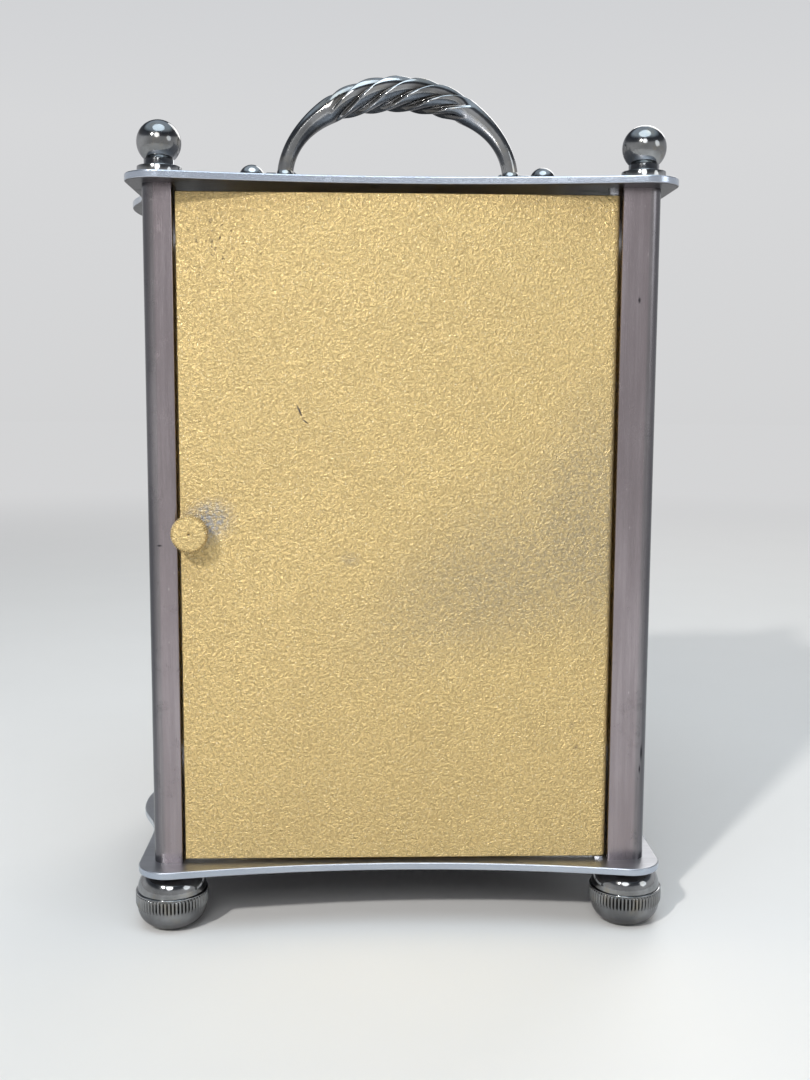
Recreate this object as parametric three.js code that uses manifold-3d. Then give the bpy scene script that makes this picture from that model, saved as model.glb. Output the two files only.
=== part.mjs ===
// A four pillar bracket clock with a knurled foot and a ball finial at each corner, a rope twisted
// carrying handle, a solid back door, bevelled glass and a spring driven movement.
// Millimetres, +Z up. The dial faces -Y and the back door faces +Y. The origin is the middle of the
// clock, at the level that the feet stand on. Right means +X, as seen from the front.
import * as THREE from 'three';
import { mergeVertices } from 'three/addons/utils/BufferGeometryUtils.js';
import Module from 'manifold-3d';

const library = await Module();
library.setup();

// ---------------------------------------------------------------- clearances
const seat = 0.3;          // gap between pieces that are fixed to each other
const runningGap = 0.25;   // gap between a turning piece and what it turns in

// ---------------------------------------------------------------- case
const pillarX = 61.3;            // pillar axis from the middle, side to side
const pillarY = 48.4;            // pillar axis from the middle, front to back
const pillarHeight = 175.9;
const pillarHalfDepth = 4.0;     // from the axis to the flat faces front and back
const pillarOuter = 4.3;         // from the axis to the rounded outer side
const pillarInner = 3.5;         // from the axis to the flat inner side
const pillarInnerHinge = 5.8;    // the same on the wider pillar that the door hangs beside
const pillarRound = 3.3;         // radius of its two outer corners
const pillarEase = 0.5;          // chamfer of its two inner corners

const plateThickness = 2.0;
const lobeRadius = 8.3;
const lobeShift = 2.6;           // lobe centre beyond the pillar axis, towards the front or back
const hollowDip = 5.8;           // how far the front and back edges are hollowed
const earReach = 6.6;            // how far the ears swell beyond the straight sides
const earHalf = 31;              // half the length of an ear

const rodRadius = 1.5;
const rodSides = 8;
const rodGripFoot = 9.0;         // length of the rod inside the foot
const rodGripFinial = 5.0;       // length of the rod inside the finial

const footHeight = 16.1;
const footRadius = 9.7;
const footBandBottom = 7.4;
const footBandTop = 10.2;
const footBaseRadius = 3.4;
const footNeckRadius = 6.2;
const footNeckHeight = 1.0;
const footTeeth = 32;
const footToothDepth = 0.45;

const collarRadius = 5.6;
const collarHeight = 2.4;
const ringRadius = 3.75;
const ringHeight = 1.1;
const neckRadius = 3.0;
const finialBallRadius = 5.58;

// ---------------------------------------------------------------- handle
const handleHalfSpan = 32.8;     // leg axis from the middle
const handlePivotRise = 8.0;     // pivot axis above the top plate
const handleArch = 24.2;         // centreline of the grip above the pivot axis
const legRadius = 2.3;
const gripRadius = 5.05;
const gripHalfLength = 21;       // half the twisted length, side to side
const ropeStrands = 6;
const ropePitch = 44;            // length of one full turn of a strand
const ropeDepth = 0.15;          // depth of the valleys between strands, as a share of the radius
const ropeFade = 5;              // length over which the strands rise from the smooth legs
const gripSteps = 34;
const legSteps = 5;
const eyeRadius = 3.2;
const eyeLength = 4.6;
const pivotScrewRadius = 1.0;
const postGap = 3.36;            // from the handle's eye to the post's ball
const postBallRadius = 3.84;
const postStemRadius = 2.0;
const postCollarRadius = 3.4;
const postCollarHeight = 1.2;
const postSpigotRadius = 1.4;

// ---------------------------------------------------------------- door
const doorThickness = 3.2;
const doorRecess = 0.6;          // door face inside the pillars' back faces
const doorSideGap = 0.5;         // from the hinge edge to its pillar
const doorFreeGap = 0.7;         // from the free edge to its pillar
const doorEase = 0.3;            // chamfer along the free edge's outer corner
const doorBottomGap = 0.9;
const doorTopGap = 1.9;
const doorSkin = 1.2;
const doorRim = 3.0;
const doorPinRadius = 0.8;
const doorPinInDoor = 6.0;
const doorPinInPlate = 1.5;
const knobX = 54.2;
const knobZ = 106.4;
const knobRadius = 4.8;
const knobThickness = 3.0;
const knobStandOff = 2.2;        // from the door face to the back of the knob's disc
const knobNeckRadius = 2.6;
const knobShaftRadius = 1.3;
const knobRimInset = 0.4;        // the disc's flat faces beyond its knurled rim
const knobTeeth = 30;
const knobToothDepth = 0.25;
const latchLength = 5.7;
const latchWidth = 2.6;
const latchThickness = 1.4;

// ---------------------------------------------------------------- glass
const glassThickness = 2.0;
const glassEdge = 1.2;           // thickness left at the edge of the bevel
const glassBevel = 5.0;
const grooveDepth = 1.5;
const sideGlassOut = 0.7;        // middle of a side pane outside the pillars' axes
const frontGlassOut = 1.7;       // middle of the front pane in front of the pillars' axes

// ---------------------------------------------------------------- dial and hands
const dialInset = 4.4;           // back face of the dial plate behind the front pillars' axes
const dialThickness = 1.2;
const dialSideGap = 2.0;         // from the dial plate's edge to the pillars
const dialEndGap = 3.4;          // from the dial plate's ends to the base and top plates
const discRadius = 46;
const discThickness = 0.8;
const dialHole = 3.0;
const dialFootRadius = 1.5;
const dialFootX = 30;
const dialFootZ = 38;
const hourHandLength = 27;
const minuteHandLength = 39;
const handThickness = 0.6;
const handGap = 0.6;             // from the dial to the hour hand, and from hand to hand
const hourAngle = 305;           // degrees clockwise from twelve, at rest
const minuteAngle = 60;

// ---------------------------------------------------------------- movement
const centreZ = 112;             // height of the dial's and the train's centre
const dialFootLength = 10;       // from the dial plate to the back of the front movement plate
const movementPlate = 2.0;
const platesApart = 26;
const movementHalfWidth = 38;
const boltInsetX = 6;            // movement pillars from the plates' side edges
const boltInsetZ = 8;            // and from their ends
const trainHeadroom = 3.8;       // from the third wheel's teeth to the escapement's case
const movementPillarRadius = 2.6;
const spigotRadius = 1.4;

const toothHeight = 1.45;        // whole height of a tooth, in modules
const toothTip = 0.65;           // height of a tooth above its pitch circle, in modules
const toothBase = 0.62;          // width of a tooth at its root, as a share of the pitch
const meshSlack = 0.12;          // added to the distance between two arbors in mesh

const barrelTeeth = 54;
const barrelModule = 0.78;
const barrelDrumRadius = 19;
const barrelDrumLength = 15;
const barrelWheelThickness = 2.0;
const barrelArborRadius = 2.2;
const barrelRimInset = 3.0;      // toothed rim behind the front plate
const barrelBossRadius = 4.5;
const barrelBossRise = 1.6;
const arborShoulder = 5.0;       // round part of the barrel's arbor behind the back plate
const arborSquareLength = 14;    // end of its square behind the back plate
const arborSquareShare = 0.68;   // half the square's side, as a share of the arbor's radius
const arborPivotShare = 0.7;     // its front pivot, as a share of the arbor's radius
const centrePinionTeeth = 9;
const centreTeeth = 42;
const centreModule = 0.68;
const thirdPinionTeeth = 7;
const thirdTeeth = 36;
const thirdModule = 0.66;
const thirdDirection = 135;      // degrees from +X to the third arbor, seen from the front
const wheelThickness = 1.2;
const arborRadius = 1.1;
const pivotRadius = 0.7;
const centreWheelInset = 4.2;    // centre wheel's front in front of the back plate
const thirdWheelInset = 7.0;     // third wheel behind the front plate
const centreHubRadius = 3.0;
const thirdHubRadius = 2.6;
const hubRise = 1.0;

const cannonTeeth = 7;
const minuteWheelTeeth = 21;
const cannonModule = 0.68;
const minutePinionTeeth = 7;
const hourWheelTeeth = 28;
const cannonPipeRadius = 1.5;
const hourPipeRadius = 2.4;
const motionClear = 1.0;         // from the front plate to the minute wheel
const motionThickness = 1.0;
const motionStep = 0.8;          // from the minute wheel to the hour wheel

const ratchetTeeth = 14;
const ratchetRadius = 7.5;
const ratchetToothDepth = 1.3;
const ratchetThickness = 1.4;
const ratchetLean = 0.42;        // lean of its teeth, as a share of the pitch
const clickLength = 6.2;
const clickWidth = 2.4;
const clickBossRadius = 2.6;
const clickScrewRadius = 1.2;
const clickScrewHead = 2.2;
const clickScrewHeadHeight = 0.9;
const setKnobRadius = 5.5;
const setKnobTeeth = 18;
const setKnobStandOff = 2.5;
const setKnobEnd = 8.0;
const keyStemRadius = 3.2;
const keyLength = 24;
const keyWingSpan = 11;
const keyWingThickness = 2.4;
const keyStandOff = 6.5;         // key's stem behind the back plate
const keySocketLength = 8.0;     // thick part of its stem

const barWidth = 6;
const barHeight = 5;
const barInset = 14;             // bars' middle from the movement plates' side edges
const baseScrewRadius = 1.4;
const baseScrewHead = 2.8;
const baseScrewHeadHeight = 1.2;

const platformHalfWidth = 16;
const platformThickness = 1.6;
const escapementHalfWidth = 9;
const escapementHeight = 10;
const balanceRadius = 10.5;
const balanceRimWidth = 1.5;
const balanceRimThickness = 1.4;
const balanceRise = 5.5;         // rim's underside above the platform
const staffRadius = 0.6;
const cockWidth = 5;
const cockRise = 9.5;            // underside of the cock above the platform
const cockThickness = 1.6;

// ---------------------------------------------------------------- levels that follow from the sizes
const basePlateBottom = footHeight;
const caseBottom = basePlateBottom + plateThickness;
const caseTop = caseBottom + pillarHeight;
const clockTop = caseTop + plateThickness;
const lobeY = pillarY + lobeShift;
const sideX = pillarX + lobeRadius;
const innerX = pillarX - pillarInner;
const pillarBack = pillarY + pillarHalfDepth;
const pillarFront = pillarY - pillarHalfDepth;
const handlePivotZ = clockTop + handlePivotRise;
const sideGlassX = pillarX + sideGlassOut;
const frontGlassY = -(pillarY + frontGlassOut);
const dialY = -(pillarY - dialInset);
const discFace = dialY - dialThickness - discThickness;
const frontPlateY = dialY + dialFootLength;
const barX = movementHalfWidth - barInset;
const postX = handleHalfSpan + eyeLength / 2 + postGap + postBallRadius;
const doorOutside = pillarBack - doorRecess;
const doorInside = doorOutside - doorThickness;
const doorAxisY = doorOutside - doorThickness / 2;
const doorHingeEdge = -(pillarX - pillarInnerHinge) + doorSideGap;
const doorAxisX = doorHingeEdge + doorThickness / 2;
const doorFreeEdge = innerX - doorFreeGap;
const doorBottom = caseBottom + doorBottomGap;
const doorTop = caseTop - doorTopGap;
const latchHigh = pillarFront - seat;
const latchLow = latchHigh - latchThickness;
const backPlateY = frontPlateY + platesApart + movementPlate;
const backInside = backPlateY - movementPlate;
const movementMiddleY = (frontPlateY + backInside) / 2;
const hourHandBack = discFace - handGap;
const minuteHandBack = hourHandBack - handThickness - handGap;
const barrelDistance = (barrelTeeth + centrePinionTeeth) * barrelModule / 2 + meshSlack;
const barrelZ = centreZ - barrelDistance;
const thirdDistance = (centreTeeth + thirdPinionTeeth) * centreModule / 2 + meshSlack;
const thirdX = thirdDistance * Math.cos(THREE.MathUtils.degToRad(thirdDirection));
const thirdZ = centreZ + thirdDistance * Math.sin(THREE.MathUtils.degToRad(thirdDirection));
const movementTop = thirdZ + (thirdTeeth / 2 + toothTip) * thirdModule + trainHeadroom + escapementHeight;
const boltX = movementHalfWidth - boltInsetX;
const boltLow = caseBottom + boltInsetZ;
const boltHigh = movementTop - boltInsetZ;
const minuteWheelX = (cannonTeeth + minuteWheelTeeth) * cannonModule / 2 + meshSlack;
const hourModule = 2 * (minuteWheelX - meshSlack) / (minutePinionTeeth + hourWheelTeeth);

// ---------------------------------------------------------------- finishes
const finishes = {
  platedBrass: { color: 0xb9b3a6, roughness: 0.28, metalness: 1 },
  satinMetal: { color: 0xa8a29c, roughness: 0.45, metalness: 1 },
  crinkleGold: { color: 0xb89a5e, roughness: 0.62, metalness: 0.6 },
  brass: { color: 0xc9a24d, roughness: 0.3, metalness: 1 },
  steel: { color: 0x8d9298, roughness: 0.32, metalness: 1 },
  bluedSteel: { color: 0x1e2a4a, roughness: 0.3, metalness: 1 },
  glass: { color: 0xdfeaea, roughness: 0.03, metalness: 0, transparent: true, opacity: 0.25 },
  dialWhite: { color: 0xece8da, roughness: 0.55, metalness: 0 },
};

// ---------------------------------------------------------------- mesh and solid helpers
function weld(geometry) {
  const bare = geometry.clone();
  bare.deleteAttribute('normal');
  bare.deleteAttribute('uv');
  const merged = mergeVertices(bare, 1e-4);
  const index = merged.index.array;
  const kept = [];
  for (let i = 0; i < index.length; i += 3) {
    const [a, b, c] = [index[i], index[i + 1], index[i + 2]];
    if (a !== b && b !== c && c !== a) {
      kept.push(a, b, c);
    }
  }
  merged.setIndex(kept);
  return merged;
}

function signedVolume(geometry) {
  const position = geometry.attributes.position;
  const index = geometry.index.array;
  const [a, b, c] = [new THREE.Vector3(), new THREE.Vector3(), new THREE.Vector3()];
  let volume = 0;
  for (let i = 0; i < index.length; i += 3) {
    a.fromBufferAttribute(position, index[i]);
    b.fromBufferAttribute(position, index[i + 1]);
    c.fromBufferAttribute(position, index[i + 2]);
    volume += a.dot(b.cross(c)) / 6;
  }
  return volume;
}

// A closed mesh with its faces pointing out.
function closed(geometry) {
  const welded = weld(geometry);
  if (signedVolume(welded) < 0) {
    const index = Array.from(welded.index.array);
    for (let i = 0; i < index.length; i += 3) {
      [index[i + 1], index[i + 2]] = [index[i + 2], index[i + 1]];
    }
    welded.setIndex(index);
  }
  return welded;
}

function toSolid(geometry) {
  const mesh = closed(geometry);
  return new library.Manifold(new library.Mesh({
    numProp: 3,
    vertProperties: Float32Array.from(mesh.attributes.position.array),
    triVerts: Uint32Array.from(mesh.index.array),
  }));
}

function toGeometry(solid) {
  const mesh = solid.getMesh();
  const geometry = new THREE.BufferGeometry();
  const positions = Float32Array.from(mesh.vertProperties);
  geometry.setAttribute('position', new THREE.BufferAttribute(positions, 3));
  geometry.setIndex(Array.from(mesh.triVerts));
  return geometry;
}

function combine(first, rest, step) {
  let solid = toSolid(first);
  for (const geometry of rest) {
    solid = solid[step](toSolid(geometry));
  }
  return toGeometry(solid);
}

const join = (first, ...rest) => combine(first, rest, 'add');
const cut = (first, ...rest) => combine(first, rest, 'subtract');

// ---------------------------------------------------------------- shape helpers
// A box given by its lowest and highest corners.
function block(low, high) {
  const size = high.map((value, i) => value - low[i]);
  const geometry = new THREE.BoxGeometry(...size);
  geometry.translate(...high.map((value, i) => (value + low[i]) / 2));
  return geometry;
}

// A turned piece on the Z axis. The profile holds [radius, height] pairs.
function turnedZ(profile, sides) {
  const points = profile.map(([r, h]) => new THREE.Vector2(r, h));
  return new THREE.LatheGeometry(points, sides).rotateX(Math.PI / 2);
}

// The same on the Y axis, with the heights along +Y.
function turnedY(profile, sides) {
  const points = profile.map(([r, h]) => new THREE.Vector2(r, h));
  return new THREE.LatheGeometry(points, sides);
}

// The same on the X axis, with the heights along +X.
function turnedX(profile, sides) {
  return turnedY(profile, sides).rotateZ(-Math.PI / 2);
}

// A round bar on the Z axis from one height to another.
function rodZ(radius, low, high, sides) {
  return turnedZ([[0, low], [radius, low], [radius, high], [0, high]], sides);
}

function rodY(radius, low, high, sides) {
  return turnedY([[0, low], [radius, low], [radius, high], [0, high]], sides);
}

// Radius of a drilled polygon whose flats clear a bar of the given radius.
function bore(radius, gap, sides) {
  return (radius + gap) / Math.cos(Math.PI / sides);
}

// Points along a quarter of an ellipse in a turned profile, without its first point.
function quarter(fromR, fromH, toR, toH, steps, bulgeOut) {
  const points = [];
  for (let i = 1; i <= steps; i += 1) {
    const angle = (i / steps) * Math.PI / 2;
    const near = 1 - Math.cos(angle);
    const far = Math.sin(angle);
    const [u, v] = bulgeOut ? [near, far] : [far, near];
    points.push([fromR + (toR - fromR) * u, fromH + (toH - fromH) * v]);
  }
  return points;
}

// Points round a ball in a turned profile, from the circle of the given radius up to the top.
function ballProfile(centre, radius, fromRadius, steps) {
  const start = -Math.acos(fromRadius / radius);
  const points = [];
  for (let i = 0; i <= steps; i += 1) {
    const angle = start + (Math.PI / 2 - start) * i / steps;
    const r = i === steps ? 0 : radius * Math.cos(angle);
    points.push([r, centre + radius * Math.sin(angle)]);
  }
  return points;
}

// Outline of a disc with pointed teeth: knurling, a ratchet or a wheel.
function toothedShape(teeth, tipRadius, rootRadius, baseShare, turn, lean = 0) {
  const shape = new THREE.Shape();
  const pitch = 2 * Math.PI / teeth;
  for (let i = 0; i < teeth; i += 1) {
    const middle = turn + i * pitch;
    const corners = [
      [rootRadius, middle - baseShare * pitch / 2],
      [tipRadius, middle + lean * pitch],
      [rootRadius, middle + baseShare * pitch / 2],
    ];
    for (const [r, angle] of corners) {
      const [x, y] = [r * Math.cos(angle), r * Math.sin(angle)];
      if (i === 0 && r === rootRadius && angle < middle) {
        shape.moveTo(x, y);
      } else {
        shape.lineTo(x, y);
      }
    }
  }
  shape.closePath();
  return shape;
}

// Outline of knurling, whose teeth stand side by side.
function knurlShape(teeth, tipRadius, rootRadius) {
  const shape = new THREE.Shape();
  for (let i = 0; i < 2 * teeth; i += 1) {
    const angle = i * Math.PI / teeth;
    const r = i % 2 ? rootRadius : tipRadius;
    shape[i ? 'lineTo' : 'moveTo'](r * Math.cos(angle), r * Math.sin(angle));
  }
  shape.closePath();
  return shape;
}

function raisedZ(shape, low, high, curveSegments = 4) {
  const settings = { depth: high - low, bevelEnabled: false, curveSegments };
  return new THREE.ExtrudeGeometry(shape, settings).translate(0, 0, low);
}

// A flat piece that stands upright and faces -Y. The shape's x and y become X and Z.
function raisedY(shape, low, high, curveSegments = 4) {
  return raisedZ(shape, 0, high - low, curveSegments).rotateX(Math.PI / 2).translate(0, high, 0);
}

// Spoke windows of a wheel, as holes in its shape.
function addWindows(shape, spokes, innerRadius, outerRadius, spokeWidth) {
  for (let i = 0; i < spokes; i += 1) {
    const window = new THREE.Path();
    const start = (i / spokes) * 2 * Math.PI;
    const end = ((i + 1) / spokes) * 2 * Math.PI;
    const trimOut = Math.asin(spokeWidth / 2 / outerRadius);
    const trimIn = Math.asin(spokeWidth / 2 / innerRadius);
    window.absarc(0, 0, outerRadius, start + trimOut, end - trimOut, false);
    window.absarc(0, 0, innerRadius, end - trimIn, start + trimIn, true);
    window.closePath();
    shape.holes.push(window);
  }
}

// A wheel or pinion in the XZ plane.
function gear(teeth, module, low, high, turn, windows) {
  const pitchRadius = teeth * module / 2;
  const tip = pitchRadius + toothTip * module;
  const shape = toothedShape(teeth, tip, tip - toothHeight * module, toothBase, turn);
  if (windows) {
    addWindows(shape, 4, windows, tip - toothHeight * module - 2, 1.8);
  }
  return raisedY(shape, low, high, 2);
}

// Turn of a driven wheel whose gap must meet the driver's teeth at the given direction.
function meshTurn(driverTeeth, driverTurn, drivenTeeth, direction) {
  const share = (direction - driverTurn) * driverTeeth / (2 * Math.PI);
  return direction + Math.PI - (0.5 - share) * 2 * Math.PI / drivenTeeth;
}

// ---------------------------------------------------------------- the part
const clock = new THREE.Group();

function add(name, finish, geometry, x = 0, y = 0, z = 0) {
  const mesh = new THREE.Mesh(closed(geometry), new THREE.MeshStandardMaterial(finishes[finish]));
  mesh.name = name;
  mesh.position.set(x, y, z);
  clock.add(mesh);
  return mesh;
}

const corners = [
  { name: 'front_left', x: -1, y: -1 },
  { name: 'front_right', x: 1, y: -1 },
  { name: 'back_left', x: -1, y: 1 },
  { name: 'back_right', x: 1, y: 1 },
];

// ---------------------------------------------------------------- plates
// The hollowed edge is an arc that touches the two lobes beside it.
function plateShape() {
  const hollow = lobeRadius - hollowDip;
  const arc = (pillarX ** 2 + hollow ** 2 - lobeRadius ** 2) / (2 * (lobeRadius - hollow));
  const arcCentre = lobeY + hollow + arc;
  const touch = Math.atan2(arcCentre - lobeY, -pillarX);
  const shape = new THREE.Shape();
  const half = Math.PI;
  shape.moveTo(sideX + earReach, 0);
  shape.bezierCurveTo(sideX + earReach, earHalf / 2, sideX, earHalf / 2, sideX, earHalf);
  shape.absarc(pillarX, lobeY, lobeRadius, 0, touch, false);
  shape.absarc(0, arcCentre, arc, touch - half, -touch, true);
  shape.absarc(-pillarX, lobeY, lobeRadius, half - touch, half, false);
  shape.lineTo(-sideX, earHalf);
  shape.bezierCurveTo(-sideX, earHalf / 2, -sideX - earReach, earHalf / 2, -sideX - earReach, 0);
  shape.bezierCurveTo(-sideX - earReach, -earHalf / 2, -sideX, -earHalf / 2, -sideX, -earHalf);
  shape.absarc(-pillarX, -lobeY, lobeRadius, half, half + touch, false);
  shape.absarc(0, -arcCentre, arc, touch, half - touch, true);
  shape.absarc(pillarX, -lobeY, lobeRadius, -touch, 0, false);
  shape.lineTo(sideX, -earHalf);
  shape.bezierCurveTo(sideX, -earHalf / 2, sideX + earReach, -earHalf / 2, sideX + earReach, 0);
  return shape;
}

function rodHoles(low, high) {
  return corners.map(({ x, y }) => (
    rodZ(bore(rodRadius, seat, rodSides), low, high, rodSides).translate(x * pillarX, y * pillarY, 0)
  ));
}

function makePlates() {
  const over = 1;
  const pinHole = (low, high) => (
    rodZ(bore(doorPinRadius, seat, rodSides), low, high, rodSides).translate(doorAxisX, doorAxisY, 0)
  );
  const screwHoles = [-1, 1].map((side) => (
    rodZ(bore(baseScrewRadius, seat, rodSides), basePlateBottom - over, caseBottom + over, rodSides)
      .translate(side * barX, movementMiddleY, 0)
  ));
  const base = cut(
    raisedZ(plateShape(), basePlateBottom, caseBottom, 4),
    ...rodHoles(basePlateBottom - over, caseBottom + over),
    ...screwHoles,
    pinHole(caseBottom - doorPinInPlate - seat, caseBottom + over),
  );
  add('base_plate', 'satinMetal', base);
  const spigotHoles = [-1, 1].map((side) => (
    rodZ(bore(postSpigotRadius, seat, rodSides), caseTop - over, clockTop + over, rodSides)
      .translate(side * postX, 0, 0)
  ));
  const top = cut(
    raisedZ(plateShape(), caseTop, clockTop, 4),
    ...rodHoles(caseTop - over, clockTop + over),
    ...spigotHoles,
    pinHole(caseTop - over, caseTop + doorPinInPlate + seat),
  );
  add('top_plate', 'satinMetal', top);
}

// ---------------------------------------------------------------- pillars
// Drawn for the back right corner, with x outwards to the side and y outwards to the back.
function pillarShape(inner) {
  const shape = new THREE.Shape();
  const round = pillarRound;
  shape.moveTo(-inner + pillarEase, -pillarHalfDepth);
  shape.lineTo(pillarOuter - round, -pillarHalfDepth);
  shape.absarc(pillarOuter - round, -pillarHalfDepth + round, round, -Math.PI / 2, 0, false);
  shape.absarc(pillarOuter - round, pillarHalfDepth - round, round, 0, Math.PI / 2, false);
  shape.lineTo(-inner + pillarEase, pillarHalfDepth);
  shape.lineTo(-inner, pillarHalfDepth - pillarEase);
  shape.lineTo(-inner, -pillarHalfDepth + pillarEase);
  shape.closePath();
  return shape;
}

function makePillars() {
  const over = 1;
  const grooveHalf = glassEdge / 2 + seat;
  for (const { name, x, y } of corners) {
    const inner = x < 0 && y > 0 ? pillarInnerHinge : pillarInner;
    const column = raisedZ(pillarShape(inner), 0, pillarHeight, 3).scale(x, y, 1);
    const axisX = x * pillarX;
    const axisY = y * pillarY;
    const cuts = [rodZ(bore(rodRadius, seat, rodSides), -over, pillarHeight + over, rodSides)];
    const grooveMiddle = x * sideGlassX - axisX;
    const mouth = -y * pillarHalfDepth;
    const grooveEnds = [mouth - y * over, mouth + y * grooveDepth].sort((a, b) => a - b);
    cuts.push(block(
      [grooveMiddle - grooveHalf, grooveEnds[0], -over],
      [grooveMiddle + grooveHalf, grooveEnds[1], pillarHeight + over],
    ));
    if (y < 0) {
      const frontEnds = [-x * (inner + over), -x * (inner - grooveDepth)].sort((a, b) => a - b);
      cuts.push(block(
        [frontEnds[0], frontGlassY - axisY - grooveHalf, -over],
        [frontEnds[1], frontGlassY - axisY + grooveHalf, pillarHeight + over],
      ));
    }
    add(`pillar_${name}`, 'satinMetal', cut(column, ...cuts), axisX, axisY, caseBottom);
  }
}

// ---------------------------------------------------------------- feet, finials and tie rods
function footGeometry() {
  const rootRadius = footRadius - footToothDepth;
  const bodyRadius = rootRadius - 0.15;
  const domeTop = footHeight - footNeckHeight;
  const profile = [
    [0, 0],
    [footBaseRadius, 0],
    ...quarter(footBaseRadius, 0, bodyRadius, footBandBottom, 4, false),
    [bodyRadius, footBandTop],
    ...quarter(bodyRadius, footBandTop, footNeckRadius - 1, domeTop, 3, true),
    [footNeckRadius, domeTop],
    [footNeckRadius, footHeight],
    [0, footHeight],
  ];
  const band = raisedZ(knurlShape(footTeeth, footRadius, rootRadius), footBandBottom, footBandTop);
  const holeLow = footHeight - rodGripFoot - seat;
  const hole = rodZ(bore(rodRadius, seat, rodSides), holeLow, footHeight + 1, rodSides);
  return cut(join(turnedZ(profile, 16), band), hole);
}

function finialGeometry() {
  const hole = rodZ(bore(rodRadius, seat, rodSides), -1, rodGripFinial + seat, rodSides);
  const ringTop = collarHeight + ringHeight;
  const centre = ringTop + 0.1 + Math.sqrt(finialBallRadius ** 2 - neckRadius ** 2);
  const profile = [
    [0, 0],
    [collarRadius, 0],
    [collarRadius, collarHeight * 0.7],
    [collarRadius - 0.5, collarHeight * 0.92],
    [ringRadius, collarHeight],
    [ringRadius, ringTop - 0.3],
    [neckRadius, ringTop],
    ...ballProfile(centre, finialBallRadius, neckRadius, 7),
  ];
  return cut(turnedZ(profile, 12), hole);
}

function makeCorners() {
  const foot = footGeometry();
  const finial = finialGeometry();
  const rodBottom = basePlateBottom - rodGripFoot;
  for (const { name, x, y } of corners) {
    add(`foot_${name}`, 'platedBrass', foot, x * pillarX, y * pillarY, 0);
    add(`finial_${name}`, 'platedBrass', finial, x * pillarX, y * pillarY, clockTop);
    const rod = rodZ(rodRadius, rodBottom, clockTop + rodGripFinial, rodSides);
    add(`tie_rod_${name}`, 'steel', rod, x * pillarX, y * pillarY, 0);
  }
}

// ---------------------------------------------------------------- handle
// The centreline is half an ellipse over the pivot axis. The bar swells towards its middle, where
// its strands wind round it. A strand's section has a valley point and two points on its crest.
function handleBar() {
  const strandPoints = [[0, 1], [0.3, 0], [0.7, 0]];
  const sides = ropeStrands * strandPoints.length;
  const gripStart = Math.acos(gripHalfLength / handleHalfSpan);
  const gripSweep = Math.PI - 2 * gripStart;
  const stations = [];
  for (let i = 0; i < legSteps; i += 1) {
    stations.push(gripStart * i / legSteps);
  }
  for (let i = 0; i < gripSteps; i += 1) {
    stations.push(gripStart + gripSweep * i / gripSteps);
  }
  for (let i = 0; i <= legSteps; i += 1) {
    stations.push(Math.PI - gripStart + gripStart * i / legSteps);
  }
  const positions = [];
  const across = new THREE.Vector3(0, 1, 0);
  let lay = 0;
  let last = null;
  for (const angle of stations) {
    const here = new THREE.Vector3(handleHalfSpan * Math.cos(angle), 0, handleArch * Math.sin(angle));
    const along = new THREE.Vector3(-handleHalfSpan * Math.sin(angle), 0, handleArch * Math.cos(angle));
    const out = new THREE.Vector3().crossVectors(across, along.normalize());
    const away = Math.abs(here.x) / handleHalfSpan;
    const swell = THREE.MathUtils.smoothstep(1 - away ** 1.4, 0, 1);
    const radius = legRadius + (gripRadius - legRadius) * swell;
    const rise = THREE.MathUtils.smoothstep(gripHalfLength - Math.abs(here.x), 0, ropeFade);
    if (last && Math.abs(here.x) < gripHalfLength) {
      lay -= here.distanceTo(last) / ropePitch * 2 * Math.PI;
    }
    last = here;
    for (let strand = 0; strand < ropeStrands; strand += 1) {
      for (const [share, depth] of strandPoints) {
        const round = lay + (strand + share) * 2 * Math.PI / ropeStrands;
        const r = radius * (1 - depth * ropeDepth * rise);
        const point = here.clone().addScaledVector(out, r * Math.cos(round));
        point.addScaledVector(across, r * Math.sin(round));
        positions.push(point.x, point.y, point.z);
      }
    }
  }
  const index = [];
  const lastRing = (stations.length - 1) * sides;
  for (let ring = 0; ring < lastRing; ring += sides) {
    for (let j = 0; j < sides; j += 1) {
      const [a, b] = [ring + j, ring + (j + 1) % sides];
      index.push(a, b, b + sides, a, b + sides, a + sides);
    }
  }
  for (let j = 1; j < sides - 1; j += 1) {
    index.push(0, j + 1, j);
    index.push(lastRing, lastRing + j, lastRing + j + 1);
  }
  const geometry = new THREE.BufferGeometry();
  geometry.setAttribute('position', new THREE.Float32BufferAttribute(positions, 3));
  geometry.setIndex(index);
  return geometry;
}

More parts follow.
